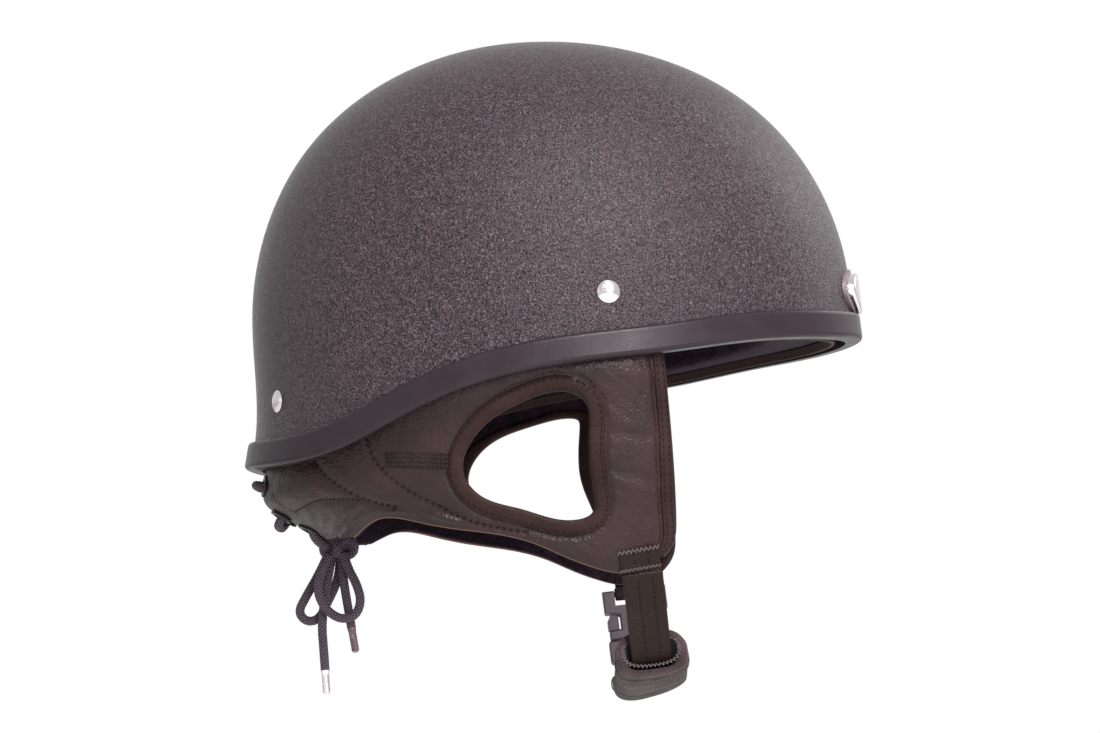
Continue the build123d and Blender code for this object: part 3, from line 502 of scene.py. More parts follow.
def stitch_form():
    """One stitch as (along, up, aside) in half lengths and half widths, with its triangles and its quads: a
    spindle of three six-sided rings between two tips. The rings rise as one minus the square of the share
    along it and thin with that square's half; the tips lie sunk in the surface."""
    sides = 6
    angle = full_turn(sides)
    rings = [np.stack((np.full(sides, along),
                       0.9 * (1 - along ** 2) - 0.3 + np.sin(angle) * (1 - along ** 2 / 2),
                       np.cos(angle) * (1 - along ** 2 / 2)), -1) for along in (-0.6, 0.0, 0.6)]
    form = np.vstack(((-1.0, -0.5, 0.0), *rings, (1.0, -0.5, 0.0)))
    here = np.arange(sides)
    after = (here + 1) % sides
    first, middle, last, tip = 1, 1 + sides, 1 + 2 * sides, 1 + 3 * sides
    fans = np.vstack((np.stack((0 * here, first + after, first + here), -1),
                      np.stack((0 * here + tip, last + here, last + after), -1)))
    walls = np.vstack([ring + np.stack((here, after, after + sides, here + sides), -1)
                       for ring in (first, middle)])
    return form, fans, walls


def stitch_rows(name, rows, material, slot, body="root", mirrored=False, width=0.55):
    """Thread stitches in one mesh. Each row is (centres, directions, normals, stitch length), and a stitch
    is its centre + along * direction + up * normal + aside * their cross product."""
    form, fans, walls = stitch_form()
    points = []
    for centres, ahead, up, length in rows:
        side = unit(np.cross(ahead, up))
        points.append(centres[:, None] + form[:, :1] * ahead[:, None] * length / 2
                      + (form[:, 1:2] * up[:, None] + form[:, 2:] * side[:, None]) * width / 2)
    points = np.concatenate(points)
    if mirrored:
        points = swayed(points) * np.array((1, -1, 1))
        fans, walls = fans[:, ::-1], walls[:, ::-1]
    each = np.arange(len(points))[:, None, None] * len(form)
    mesh = bpy.data.meshes.new(name)
    mesh.from_pydata((points.reshape(-1, 3) * MM).tolist(), [],
                     (fans + each).reshape(-1, 3).tolist() + (walls + each).reshape(-1, 4).tolist())
    mesh.polygons.foreach_set("use_smooth", np.ones(len(mesh.polygons), bool))
    mesh.update()
    return place(name, mesh, material, slot, body)


def collar_row(line, out, pitch, share=0.72):
    """Stitch places along a side-view line on the leather, a pitch apart in space."""
    line = np.asarray(line, float)
    fine = collar_side(line[:, 0], line[:, 1], out)
    centres = even(fine, max(2, int(lengths_along(fine)[-1] / pitch)))
    up = collar_side(centres[:, 0], centres[:, 2], out + 1.0) - centres
    ahead = headings(centres)
    up = up - (up * ahead).sum(1, keepdims=True) * ahead
    return centres, ahead, unit(up), pitch * share


AIR_FRAMES, AIR_MASS = 15, 0.3              # how long the cloth fills, and kilograms a vertex


def puffed(piece, cap, pressure, held=None):
    """Fills a closed mesh with air as cloth, and keeps how far each point moved under a cap (mm). The held
    points stay where they are."""
    scene = bpy.context.scene
    air = piece.modifiers.new("air", "CLOTH")
    air.settings.use_pressure = True
    air.settings.uniform_pressure_force = pressure
    air.settings.effector_weights.gravity = 0
    air.settings.mass = AIR_MASS
    if held is not None:
        group = piece.vertex_groups.new(name="held")
        group.add([int(i) for i in held], 1.0, "REPLACE")
        air.settings.vertex_group_mass = "held"
    for number in range(1, AIR_FRAMES + 1):
        scene.frame_set(number)
    count = len(piece.data.vertices) * 3
    rest, moved = np.zeros(count, np.float32), np.zeros(count, np.float32)
    piece.data.vertices.foreach_get("co", rest)
    piece.evaluated_get(bpy.context.evaluated_depsgraph_get()).data.vertices.foreach_get("co", moved)
    step = (moved - rest).reshape(-1, 3)
    length = np.linalg.norm(step, axis=1, keepdims=True)
    step *= np.minimum(1, cap * MM / np.maximum(length, 1e-9))
    piece.modifiers.remove(air)
    piece.data.vertices.foreach_set("co", (rest.reshape(-1, 3) + step).ravel())
    piece.data.update()
    scene.frame_set(1)
    return piece


# ---------------------------------------------------------------- materials

def node(tree, kind, inputs=(), **settings):
    """Adds one node, sets its attributes, and fills its inputs, which are listed in order or by socket, with
    values or with links from sockets. A node stands for its first output in use."""
    made = tree.nodes.new("ShaderNode" + kind)
    for name, value in settings.items():
        setattr(made, name, value)
    for socket, value in inputs.items() if isinstance(inputs, dict) else enumerate(inputs):
        if isinstance(value, bpy.types.Node):
            value = next(output for output in value.outputs if output.enabled)
        if isinstance(value, bpy.types.NodeSocket):
            tree.links.new(value, made.inputs[socket])
        else:
            made.inputs[socket].default_value = value
    return made


def per_mm(size):
    """A texture scale, in cells per metre, for a grain of that many millimetres."""
    return 1000.0 / size


def begin(name):
    """A new material, its empty tree and its object coordinates."""
    material = bpy.data.materials.new(name)
    material.use_nodes = True
    tree = material.node_tree
    tree.nodes.clear()
    return material, tree, node(tree, "TexCoord").outputs["Object"]


def shaded(colour, share=1.0):
    """A colour, as an sRGB code or linear values, made darker or lighter by a share of itself."""
    value = linear(colour) if isinstance(colour, str) else colour
    return (*(min(1.0, part * share) for part in tuple(value)[:3]), 1.0)


def gritty_paint(colour):
    """Sprayed polyurethane paint with grit in it, over moulded glass fibre: worm-like ridges about 1 mm apart
    over a dark ground, where the paint stands over the grit. The ridges' crests are painted pale as painted
    glints toward the lamps, and the ground is painted darker in its pits and lighter on its bumps: painted
    shade and painted highlight."""
    material, tree, at = begin("gritty_polyurethane_paint")
    grit = node(tree, "TexNoise", {
        "Vector": at, "Scale": per_mm(1.5), "Detail": 1.0, "Roughness": 0.6, "Distortion": 0.6})
    fine = node(tree, "TexNoise", {"Vector": at, "Scale": per_mm(0.7), "Detail": 1.0})
    off_middle = node(tree, "Math", [grit, 0.5], operation="SUBTRACT")
    away = node(tree, "Math", [off_middle], operation="ABSOLUTE")
    ridge = node(tree, "MapRange", [away, 0.0, 0.085, 1.0, 0.0])
    # Painted glints: the ridges' crests are painted pale, most where the fine grain stands high
    glint_fleck = node(tree, "MapRange", [fine, 0.4, 0.6, 0.15, 1.0])
    # Painted shade in the pits of the fine grain, and painted highlight on its bumps
    pit_shade = node(tree, "MapRange", [fine, 0.38, 0.62, 0.0, 1.0])
    ground = node(tree, "Mix", {0: pit_shade, 6: shaded(colour, 0.35), 7: shaded(colour, 1.8)}, data_type="RGBA")
    crest_glint = node(tree, "Math", [ridge, glint_fleck], operation="MULTIPLY")
    grain = node(tree, "Math", [fine, 1.4], operation="MULTIPLY")
    height = node(tree, "Math", [ridge, grain], operation="ADD")
    shader = node(tree, "BsdfPrincipled", {
        "Base Color": node(tree, "Mix", {0: crest_glint, 6: ground, 7: shaded(colour, 5.0)}, data_type="RGBA"),
        "Roughness": node(tree, "MapRange", [fine, 0.35, 0.65, 0.26, 0.36]),
        "Specular IOR Level": 0.18,
        "Normal": node(tree, "Bump", {"Height": height, "Distance": 0.26 * MM}),
    })
    node(tree, "OutputMaterial", [shader])
    return material


def moulded_rubber(colour):
    """Extruded EPDM rubber: even and matte, with a faint bloom in drifts and a fine skin."""
    material, tree, at = begin("extruded_epdm_rubber")
    bloom = node(tree, "TexNoise", {"Vector": at, "Scale": per_mm(14.0), "Detail": 4.0})
    skin = node(tree, "TexNoise", {"Vector": at, "Scale": per_mm(0.9), "Detail": 2.0})
    shader = node(tree, "BsdfPrincipled", {
        "Base Color": node(tree, "Mix", {0: bloom, 6: shaded(colour, 0.82), 7: shaded(colour, 1.18)},
                           data_type="RGBA"),
        "Roughness": node(tree, "MapRange", [bloom, 0.3, 0.7, 0.3, 0.42]),
        "Specular IOR Level": 0.12,
        "Normal": node(tree, "Bump", {"Height": skin, "Distance": 0.05 * MM}),
    })
    node(tree, "OutputMaterial", [shader])
    return material


def grain_leather(name, colour, cell=1.0, crease=1.0, gloss=0.17):
    """Chrome-tanned garment leather: pebbled cells about 1 mm across, faint creases drawn out along the
    hide, and a low dressed gloss that the pebbles break up."""
    material, tree, at = begin(name)
    cells = node(tree, "TexVoronoi", {"Vector": at, "Scale": per_mm(cell)}, feature="SMOOTH_F1")
    drawn = node(tree, "Mapping", {"Vector": at, "Scale": (0.45, 0.45, 1.0)})
    crinkle = node(tree, "TexNoise", {
        "Vector": drawn, "Scale": per_mm(3.4), "Detail": 3.0, "Roughness": 0.55, "Distortion": 0.7})
    soft = node(tree, "TexNoise", {"Vector": drawn, "Scale": per_mm(13.0), "Detail": 2.0})
    drift = node(tree, "TexNoise", {"Vector": at, "Scale": per_mm(24.0), "Detail": 3.0})
    tone = node(tree, "MapRange", [drift, 0.35, 0.65, 0.0, 1.0])
    swelled = node(tree, "Bump", {"Height": soft, "Distance": crease * MM, "Strength": 0.6})
    creased = node(tree, "Bump", {
        "Height": crinkle, "Distance": 0.3 * crease * MM, "Strength": 0.6, "Normal": swelled})
    shader = node(tree, "BsdfPrincipled", {
        "Base Color": node(tree, "Mix", {0: tone, 6: shaded(colour, 0.78), 7: shaded(colour, 1.3)},
                           data_type="RGBA"),
        "Roughness": node(tree, "MapRange", [cells, 0.1, 0.7, 0.34, 0.48]),
        "Specular IOR Level": gloss,
        "Normal": node(tree, "Bump", {"Height": cells, "Distance": 0.32 * MM, "Normal": creased}),
    })
    node(tree, "OutputMaterial", [shader])
    return material


def brushed_fleece(name, colour, tint="#8d8492"):
    """Knitted polyester fleece, brushed to a nap: clumps of fibre 1.5 mm across with no gloss, and a pale
    edge of light where the nap stands against it. The nap's high fibres are painted lighter and its hollows
    darker: painted highlight and painted shade."""
    material, tree, at = begin(name)
    nap = node(tree, "TexNoise", {"Vector": at, "Scale": per_mm(1.5), "Detail": 6.0, "Roughness": 0.7})
    clump = node(tree, "TexNoise", {"Vector": at, "Scale": per_mm(6.0), "Detail": 3.0})
    low = node(tree, "Math", [clump, 0.6], operation="MULTIPLY")
    both = node(tree, "Math", [nap, low], operation="ADD")
    # Painted highlight on the high nap and painted shade in its hollows, from the same noise as the bump
    light = node(tree, "MapRange", [both, 0.68, 0.94, 0.0, 1.0])
    shader = node(tree, "BsdfPrincipled", {
        "Base Color": node(tree, "Mix", {0: light, 6: shaded(colour, 0.5), 7: shaded(colour, 2.0)},
                           data_type="RGBA"),
        "Roughness": 0.95,
        "Specular IOR Level": 0.08,
        "Sheen Weight": 0.12,
        "Sheen Roughness": 0.5,
        "Sheen Tint": shaded(tint),
        "Normal": node(tree, "Bump", {"Height": both, "Distance": 0.8 * MM}),
    })
    node(tree, "OutputMaterial", [shader])
    return material


def lined_suede(colour, lining, inside):
    """Split suede over foam, napped, its nap's hollows painted dark as painted shade, with a dark fleece
    lining where the skin runs inside the sleeve; the lining is painted darker than the fleece, as painted
    shade inside the slot. The UV map's first axis runs along the skin, so the lining lies between its two
    values of inside."""
    material, tree, at = begin("napped_split_suede")
    along = node(tree, "SeparateXYZ", [node(tree, "TexCoord").outputs["UV"]])
    nap = node(tree, "TexNoise", {"Vector": at, "Scale": per_mm(1.3), "Detail": 5.0, "Roughness": 0.7})
    rubbed = node(tree, "TexNoise", {"Vector": at, "Scale": per_mm(16.0), "Detail": 2.0})
    past = node(tree, "Math", [along, inside[0]], operation="GREATER_THAN")
    before = node(tree, "Math", [along, inside[1]], operation="LESS_THAN")
    lined = node(tree, "Math", [past, before], operation="MULTIPLY")
    wear = node(tree, "MapRange", [rubbed, 0.4, 0.6, 0.0, 1.0])
    worn = node(tree, "Mix", {0: wear, 6: shaded(colour, 0.7), 7: shaded(colour, 1.7)}, data_type="RGBA")
    # Painted shade in the hollows of the nap, down to a third of the colour
    lift = node(tree, "MapRange", [nap, 0.35, 0.65, 0.35, 1.0])
    face = node(tree, "Mix", {0: lift, 6: shaded(colour, 0.35), 7: worn}, data_type="RGBA")
    shader = node(tree, "BsdfPrincipled", {
        # The lining's colour is dark fleece painted darker still: painted shade inside the slot
        "Base Color": node(tree, "Mix", {0: lined, 6: face, 7: shaded(lining)}, data_type="RGBA"),
        "Roughness": 0.95,
        "Specular IOR Level": 0.08,
        "Sheen Weight": 0.1,
        "Sheen Roughness": 0.5,
        "Normal": node(tree, "Bump", {"Height": nap, "Distance": 0.7 * MM}),
    })
    node(tree, "OutputMaterial", [shader])
    return material


def woven_tape(name, colour, pitch):
    """Woven tape: ribs a pitch apart along the weave, crossed by yarns as far apart, with a dull shine; the
    raised yarns are painted lighter and the dips between them darker, as painted highlight and painted shade.
    The UV map is in millimetres."""
    material, tree, _ = begin(name)
    parts = node(tree, "SeparateXYZ", [node(tree, "TexCoord").outputs["UV"]])
    across, along = (node(tree, "Math", [output, 2 * math.pi / pitch], operation="MULTIPLY")
                     for output in parts.outputs[:2])
    rib, yarn = (node(tree, "Math", [phase], operation="SINE") for phase in (across, along))
    weave = node(tree, "Math", [rib, yarn], operation="MULTIPLY")
    # Painted highlight on the raised yarns and painted shade between them
    light = node(tree, "MapRange", [weave, -1.0, 1.0, 0.0, 1.0])
    shader = node(tree, "BsdfPrincipled", {
        "Base Color": node(tree, "Mix", {0: light, 6: shaded(colour, 0.7), 7: shaded(colour, 1.35)},
                           data_type="RGBA"),
        "Roughness": 0.7,
        "Specular IOR Level": 0.15,
        "Sheen Weight": 0.04,
        "Normal": node(tree, "Bump", {"Height": weave, "Distance": 0.12 * MM}),
    })
    node(tree, "OutputMaterial", [shader])
    return material


def braided_lace(colour):
    """Round-braided polyester lace: two sets of plaited yarns cross in small chevrons half a plait long,
    twelve round the lace, with a painted highlight where a yarn comes over and painted shade in the
    crossings."""
    material, tree, at = begin("braided_polyester_lace")
    parts = node(tree, "SeparateXYZ", [node(tree, "TexCoord").outputs["UV"]])
    length = node(tree, "Math", [parts.outputs[0], 2 * math.pi / PLAIT], operation="MULTIPLY")
    about = node(tree, "Math", [parts.outputs[1], 2 * math.pi * YARNS], operation="MULTIPLY")
    phases = [node(tree, "Math", [length, about], operation=way) for way in ("ADD", "SUBTRACT")]
    first, second = (node(tree, "Math", [phase], operation="SINE") for phase in phases)
    plait = node(tree, "Math", [first, second], operation="MAXIMUM")
    yarn = node(tree, "TexNoise", {"Vector": at, "Scale": per_mm(0.5), "Detail": 2.0})
    fray = node(tree, "Math", [yarn, 0.5], operation="MULTIPLY")
    height = node(tree, "Math", [plait, fray], operation="ADD")
    # Painted highlight where a yarn comes over, painted shade in the crossings
    light = node(tree, "MapRange", [height, -0.4, 1.3, 0.0, 1.0])
    shader = node(tree, "BsdfPrincipled", {
        "Base Color": node(tree, "Mix", {0: light, 6: shaded(colour, 0.42), 7: shaded(colour, 1.5)},
                           data_type="RGBA"),
        "Roughness": 0.72,
        "Specular IOR Level": 0.15,
        "Sheen Weight": 0.06,
        "Sheen Roughness": 0.4,
        "Normal": node(tree, "Bump", {"Height": height, "Distance": 0.2 * MM}),
    })
    node(tree, "OutputMaterial", [shader])
    return material


def polished_metal(name, colour, rough=0.16, dent=0.25):
    """Nickel-plated steel, polished: a bright mirror softened by handling marks and shallow dents."""
    material, tree, at = begin(name)
    marks = node(tree, "TexNoise", {"Vector": at, "Scale": per_mm(3.2), "Detail": 2.0})
    scuff = node(tree, "TexNoise", {"Vector": at, "Scale": per_mm(0.8), "Detail": 4.0})
    shader = node(tree, "BsdfPrincipled", {
        "Base Color": node(tree, "Mix", {0: scuff, 6: shaded(colour, 0.86), 7: shaded(colour, 1.04)},
                           data_type="RGBA"),
        "Metallic": 1.0,
        "Roughness": node(tree, "MapRange", [scuff, 0.3, 0.7, rough, rough + 0.14]),
        "Normal": node(tree, "Bump", {"Height": marks, "Distance": dent * MM}),
    })
    node(tree, "OutputMaterial", [shader])
    return material


def baked_enamel(name, colour):
    """Baked enamel on brass: a dark satin, thinned a little in worn spots."""
    material, tree, at = begin(name)
    wear = node(tree, "TexNoise", {"Vector": at, "Scale": per_mm(1.6), "Detail": 3.0})
    thin = node(tree, "MapRange", [wear, 0.5, 0.75, 0.0, 1.0])
    shader = node(tree, "BsdfPrincipled", {
        "Base Color": node(tree, "Mix", {0: thin, 6: shaded(colour), 7: shaded(colour, 2.6)},
                           data_type="RGBA"),
        "Roughness": node(tree, "MapRange", [wear, 0.3, 0.7, 0.25, 0.45]),
        "Specular IOR Level": 0.12,
        "Normal": node(tree, "Bump", {"Height": wear, "Distance": 0.04 * MM}),
    })
    node(tree, "OutputMaterial", [shader])
    return material


def moulded_plastic(name, colour, rough=0.42):
    """Injection-moulded acetal: satin, with a fine spark-eroded grain from the tool and faint flow marks."""
    material, tree, at = begin(name)
    spark = node(tree, "TexNoise", {"Vector": at, "Scale": per_mm(0.7), "Detail": 2.0})
    flow = node(tree, "TexNoise", {"Vector": at, "Scale": per_mm(9.0), "Detail": 2.0})
    shader = node(tree, "BsdfPrincipled", {
        "Base Color": node(tree, "Mix", {0: flow, 6: shaded(colour, 0.8), 7: shaded(colour, 1.2)},
                           data_type="RGBA"),
        "Roughness": node(tree, "MapRange", [spark, 0.3, 0.7, rough - 0.06, rough + 0.1]),
        "Specular IOR Level": 0.3,
        "Normal": node(tree, "Bump", {"Height": spark, "Distance": 0.06 * MM}),
    })
    node(tree, "OutputMaterial", [shader])
    return material


def bead_foam(colour):
    """Expanded polystyrene: beads 3 mm across pressed flat against each other, with fine joints between."""
    material, tree, at = begin("expanded_polystyrene")
    beads = node(tree, "TexVoronoi", {"Vector": at, "Scale": per_mm(3.0)}, feature="DISTANCE_TO_EDGE")
    joint = node(tree, "MapRange", [beads, 0.0, 0.12, 0.0, 1.0])
    shader = node(tree, "BsdfPrincipled", {
        "Base Color": node(tree, "Mix", {0: joint, 6: shaded(colour, 0.6), 7: shaded(colour)},
                           data_type="RGBA"),
        "Roughness": 0.85,
        "Normal": node(tree, "Bump", {"Height": joint, "Distance": 0.2 * MM}),
    })
    node(tree, "OutputMaterial", [shader])
    return material


def sewing_thread(name, colour):
    """Bonded nylon thread: three plies twisted every 0.9 mm, with a slight wax shine."""
    material, tree, at = begin(name)
    ply = node(tree, "TexWave", {"Vector": at, "Scale": per_mm(0.9), "Distortion": 1.5}).outputs["Fac"]
    shader = node(tree, "BsdfPrincipled", {
        # The plies' tops are painted lighter and the grooves between them darker: painted highlight and
        # painted shade
        "Base Color": node(tree, "Mix", {0: ply, 6: shaded(colour, 0.6), 7: shaded(colour, 1.3)},
                           data_type="RGBA"),
        "Roughness": 0.5,
        "Specular IOR Level": 0.12,
        "Normal": node(tree, "Bump", {"Height": ply, "Distance": 0.1 * MM}),
    })
    node(tree, "OutputMaterial", [shader])
    return material


def cut_leather_edge(colour):
    """The raw, burnished edge of the hide: warm brown fibres between the dyed faces."""
    material, tree, at = begin("burnished_leather_edge")
    fibre = node(tree, "TexNoise", {"Vector": at, "Scale": per_mm(1.2), "Detail": 5.0})
    shader = node(tree, "BsdfPrincipled", {
        "Base Color": node(tree, "Mix", {0: fibre, 6: shaded(colour, 0.55), 7: shaded(colour, 1.3)},
                           data_type="RGBA"),
        "Roughness": 0.6,
        "Normal": node(tree, "Bump", {"Height": fibre, "Distance": 0.15 * MM}),
    })
    node(tree, "OutputMaterial", [shader])
    return material


def white_card():
    """Matt white card: even, with a faint tooth. What faces down lets light through, so that a low camera
    sees the cap and not the card's underside."""
    material, tree, at = begin("matt_white_card")
    tooth = node(tree, "TexNoise", {"Vector": at, "Scale": per_mm(30.0), "Detail": 2.0})
    shader = node(tree, "BsdfPrincipled", {
        "Base Color": node(tree, "Mix", {0: tooth, 6: shaded("#f4f4f3"), 7: shaded("#f8f8f7")},
                           data_type="RGBA"),
        "Roughness": 0.9,
    })
    behind = node(tree, "NewGeometry").outputs["Backfacing"]
    mix = node(tree, "MixShader", [behind, shader, node(tree, "BsdfTransparent")])
    node(tree, "OutputMaterial", [mix])
    return material


# ---------------------------------------------------------------- what a user may change

PAINT = {"subtype": "COLOR", "min": 0, "max": 1}
LENGTH = {"subtype": "DISTANCE", "unit": "LENGTH"}


class CapColours(bpy.types.PropertyGroup):
    """Colours of the cap's materials."""
    shell: bpy.props.FloatVectorProperty(
        name="Shell", description="Ground colour of the gritty paint",
        default=linear("#221b1e"), **PAINT)
    trim: bpy.props.FloatVectorProperty(
        name="Edge trim", description="Rubber round the shell's edge",
        default=linear("#211a1e"), **PAINT)
    leather: bpy.props.FloatVectorProperty(
        name="Leather", description="Face of the side pieces",
        default=linear("#201213"), **PAINT)
    binding: bpy.props.FloatVectorProperty(
        name="Binding", description="Turned band round the ear holes and front edges",
        default=linear("#241817"), **PAINT)
    strap: bpy.props.FloatVectorProperty(
        name="Strap", description="Chin strap and its tab",
        default=linear("#190f0d"), **PAINT)
    fleece: bpy.props.FloatVectorProperty(
        name="Fleece", description="Headband, crown pad and lining",
        default=linear("#160d14"), **PAINT)
    pad: bpy.props.FloatVectorProperty(
        name="Chin pad", description="Padded sleeve on the chin strap",
        default=linear("#322729"), **PAINT)
    piping: bpy.props.FloatVectorProperty(
        name="Piping", description="Tape along the headband's edge",
        default=linear("#291b1a"), **PAINT)
    lace: bpy.props.FloatVectorProperty(
        name="Lace", description="Braided lace at the nape",
        default=linear("#382f37"), **PAINT)
    plastic: bpy.props.FloatVectorProperty(
        name="Buckle", description="Buckle and release arms",
        default=linear("#382c33"), **PAINT)
    metal: bpy.props.FloatVectorProperty(
        name="Bright metal", description="Rivets, badge plate and aglet",
        default=linear("#c6bfc3"), **PAINT)
    thread: bpy.props.FloatVectorProperty(
        name="Thread", description="Stitching on the leather",
        default=linear("#181213"), **PAINT)


class CapSizes(bpy.types.PropertyGroup):
    """Sizes of the soft pieces' details."""
    stitch: bpy.props.FloatProperty(
        name="Stitch pitch", description="Distance from one stitch to the next",
        default=0.0029, min=0.0015, max=0.006, **LENGTH)
    lace: bpy.props.FloatProperty(
        name="Lace diameter", description="Thickness of the round lace",
        default=0.0042, min=0.002, max=0.006, **LENGTH)
    puff: bpy.props.FloatProperty(
        name="Padding swell", description="How far the padding may swell",
        default=0.0016, min=0.0, max=0.004, **LENGTH)
    relief: bpy.props.FloatProperty(
        name="Leather relief", description="How far the padded leather stands between its seams",
        default=0.0009, min=0.0, max=0.002, **LENGTH)


def finish_cad(names, material):
    """Gives the named solids a finish; their shapes stay as they are."""
    for name in names:
        target = frame["nodes"][name]
        target.data.materials.clear()
        target.data.materials.append(material)


class CAP_OT_hard_finishes(bpy.types.Operator):
    """Finishes on the shell, trim, liner, badge, rivets, eyelets, aglets and buckle"""
    bl_idname = "cap.hard_finishes"
    bl_label = "Finish the hard pieces"

    def execute(self, context):
        tone = context.scene.cap_colours
        finish_cad(["shell"], gritty_paint(tone.shell))
        finish_cad(["rim_trim"], moulded_rubber(tone.trim))
        finish_cad(["impact_liner"], bead_foam("#3a3838"))
        finish_cad(["badge_plate"],
                   polished_metal("polished_nickel_badge", tone.metal, rough=0.12, dent=0.12))
        finish_cad(["badge_backing"], moulded_plastic("moulded_badge_backing", "#5c5152", rough=0.5))
        finish_cad(["shell_rivets", "rivet_burrs"], polished_metal("polished_nickel_rivets", tone.metal))
        finish_cad(["aglet_long"],
                   polished_metal("crimped_nickel_aglet", tone.metal, rough=0.2, dent=0.4))
        finish_cad(["aglet_short"], baked_enamel("enamelled_aglet", "#4d4246"))
        finish_cad(["lace_eyelets"], baked_enamel("enamelled_eyelets", "#1c1819"))
        finish_cad(["rivet_spacers"], moulded_plastic("turned_nylon_spacers", "#3a3536"))
        finish_cad(["buckle_female", "buckle_male", "release_arm_front", "release_arm_rear"],
                   moulded_plastic("moulded_acetal_buckle", tone.plastic))
        return {"FINISHED"}


# ---------------------------------------------------------------- leather sides

# How a side is cut, in millimetres
NAPE_ASIDE, NAPE_TOP = 30.0, -18.0         # its rear edge from the middle of the back, and up to this level
TRIM_LAP, SEAM_LAP, BAND_LAP = 6.5, 1.6, 2.2   # how far it runs under the trim, front band and ear band
FRONT_TOP, FRONT_FOOT = 46.0, 47.5         # x where its top ends, and where its foot does
FOOT_SHARE = 0.72                          # of the hem line, which then turns up along the front edge
WING_FEET = (-40.0, -73.0)                 # x on the hem where the wing begins and ends
RADIAN = 95.0                              # what a turn of one radian is counted as, beside a level
BORDER_POINTS = (190, 90, 96, 34, 70)      # along the trim, front seam, cheek, wing's foot and nape
# Where the ear hole's outline is matched to the ends of those stretches
EAR_MARKS = ((-0.262, -0.56), (0.118, -0.325), (0.14, -0.765), (-0.2, -0.7), (-0.27, -0.61))

# How its face rises and dips, in millimetres
SWELL_REACH, HEM_REACH = 6.0, 3.0          # the padding's rise from a seam, and its fall to the hem
STITCH_DIP, BORDER_DIP, DIP_WIDTH = 0.8, 0.9, 1.3
SKIN_WAVE = 0.1

# Walls of the two layers, with the rounding of their cut edges
FACE_WALL, FACE_ROUND = 2.3, 0.8
LINING_PLACE, LINING_WALL, LINING_ROUND = -2.6, 1.2, 0.45

# The nape facing's middle and half width from the middle of the back, its levels and where the lace draws it
FACING_MIDDLE, FACING_HALF, FACING_LEVELS = 21.0, 12.0, (-57.6, -14.0)
DRAWN_LEVELS, DRAWN_WIDTH = np.array((-31.2, -45.8, -52.7)), 3.0

# Half width of an anchor strap, its reach past the rivet, and its foot above the rim line
ANCHOR_HALF, ANCHOR_PAST, ANCHOR_FOOT = 11.0, 12.5, 9.8

# How far stitches stand off the leather's form: on its face, down in a seam and on the ear band
ON_FACE, IN_SEAM, ON_BAND = 0.95, -0.35, 1.0

# Folds of the leather in the side view, each with its height and its width: pinched ones across the
# cheek, and soft ones that run to the knot and along the hem
PINCHES = [
    ([(29.0, -48.6), (36.7, -50.2), (44.5, -50.8)], 0.36, 2.5),
    ([(29.0, -65.2), (36.7, -67.2), (45.0, -69.6)], 0.36, 2.5),
    ([(28.5, -55.6), (34.5, -57.4)], 0.14, 1.5), ([(31.0, -60.4), (38.0, -61.8)], 0.12, 1.4),
    ([(30.0, -73.5), (36.0, -74.8), (43.0, -77.4)], 0.12, 1.5), ([(33.0, -43.0), (42.0, -44.4)], 0.12, 1.5),
]
FOLDS = [
    ([(14.0, -24.0), (28.0, -22.0), (44.0, -23.0)], 1.1, 5.0),
    ([(-91.6, -91.9), (-82.2, -85.4), (-74.0, -82.9), (-62.2, -82.6), (-51.1, -84.4), (-39.0, -87.4)],
     1.2, 1.3),
    ([(-86.0, -88.0), (-78.3, -84.2), (-68.0, -81.9)], -0.9, 1.1),
    ([(-96.5, -91.0), (-93.0, -86.0), (-86.0, -81.2)], 0.85, 1.6),
    ([(-100.5, -90.0), (-100.0, -85.0), (-96.5, -80.2)], 0.8, 1.6),
    ([(-104.5, -88.4), (-107.0, -84.4), (-108.0, -81.0)], 0.5, 1.8),
    ([(-89.0, -86.5), (-83.0, -82.0)], -0.7, 1.2), ([(-98.5, -88.0), (-97.5, -82.5)], -0.7, 1.1),
    ([(-102.5, -88.0), (-104.0, -83.0)], -0.45, 1.3),
    ([(-62.0, -66.0), (-54.0, -72.0), (-44.0, -78.0)], -0.35, 2.6),
    ([(-90.0, -62.0), (-84.0, -66.0), (-79.0, -73.0)], -0.4, 2.8),
]


def ear_line(outset, count=480):
    """The ear hole's outline moved square to itself: a closed spline, then a step along its own normal. The
    outline runs clockwise, so that normal points away from the hole."""
    edge = ring(side_view(EAR, DROP), count)
    ahead = headings(edge, closed=True)
    return edge + outset * np.stack((-ahead[:, 1], ahead[:, 0]), -1)


def hem_line(count=400):
    """The hem from the nape along the cheek and up the front edge, as a spline."""
    return curve(side_view(HEM, DROP), count)


def seam_line(count=120):
    """The seam of the front band from the trim down, as a spline."""
    return curve(side_view(FRONT_SEAM, DROP), count)


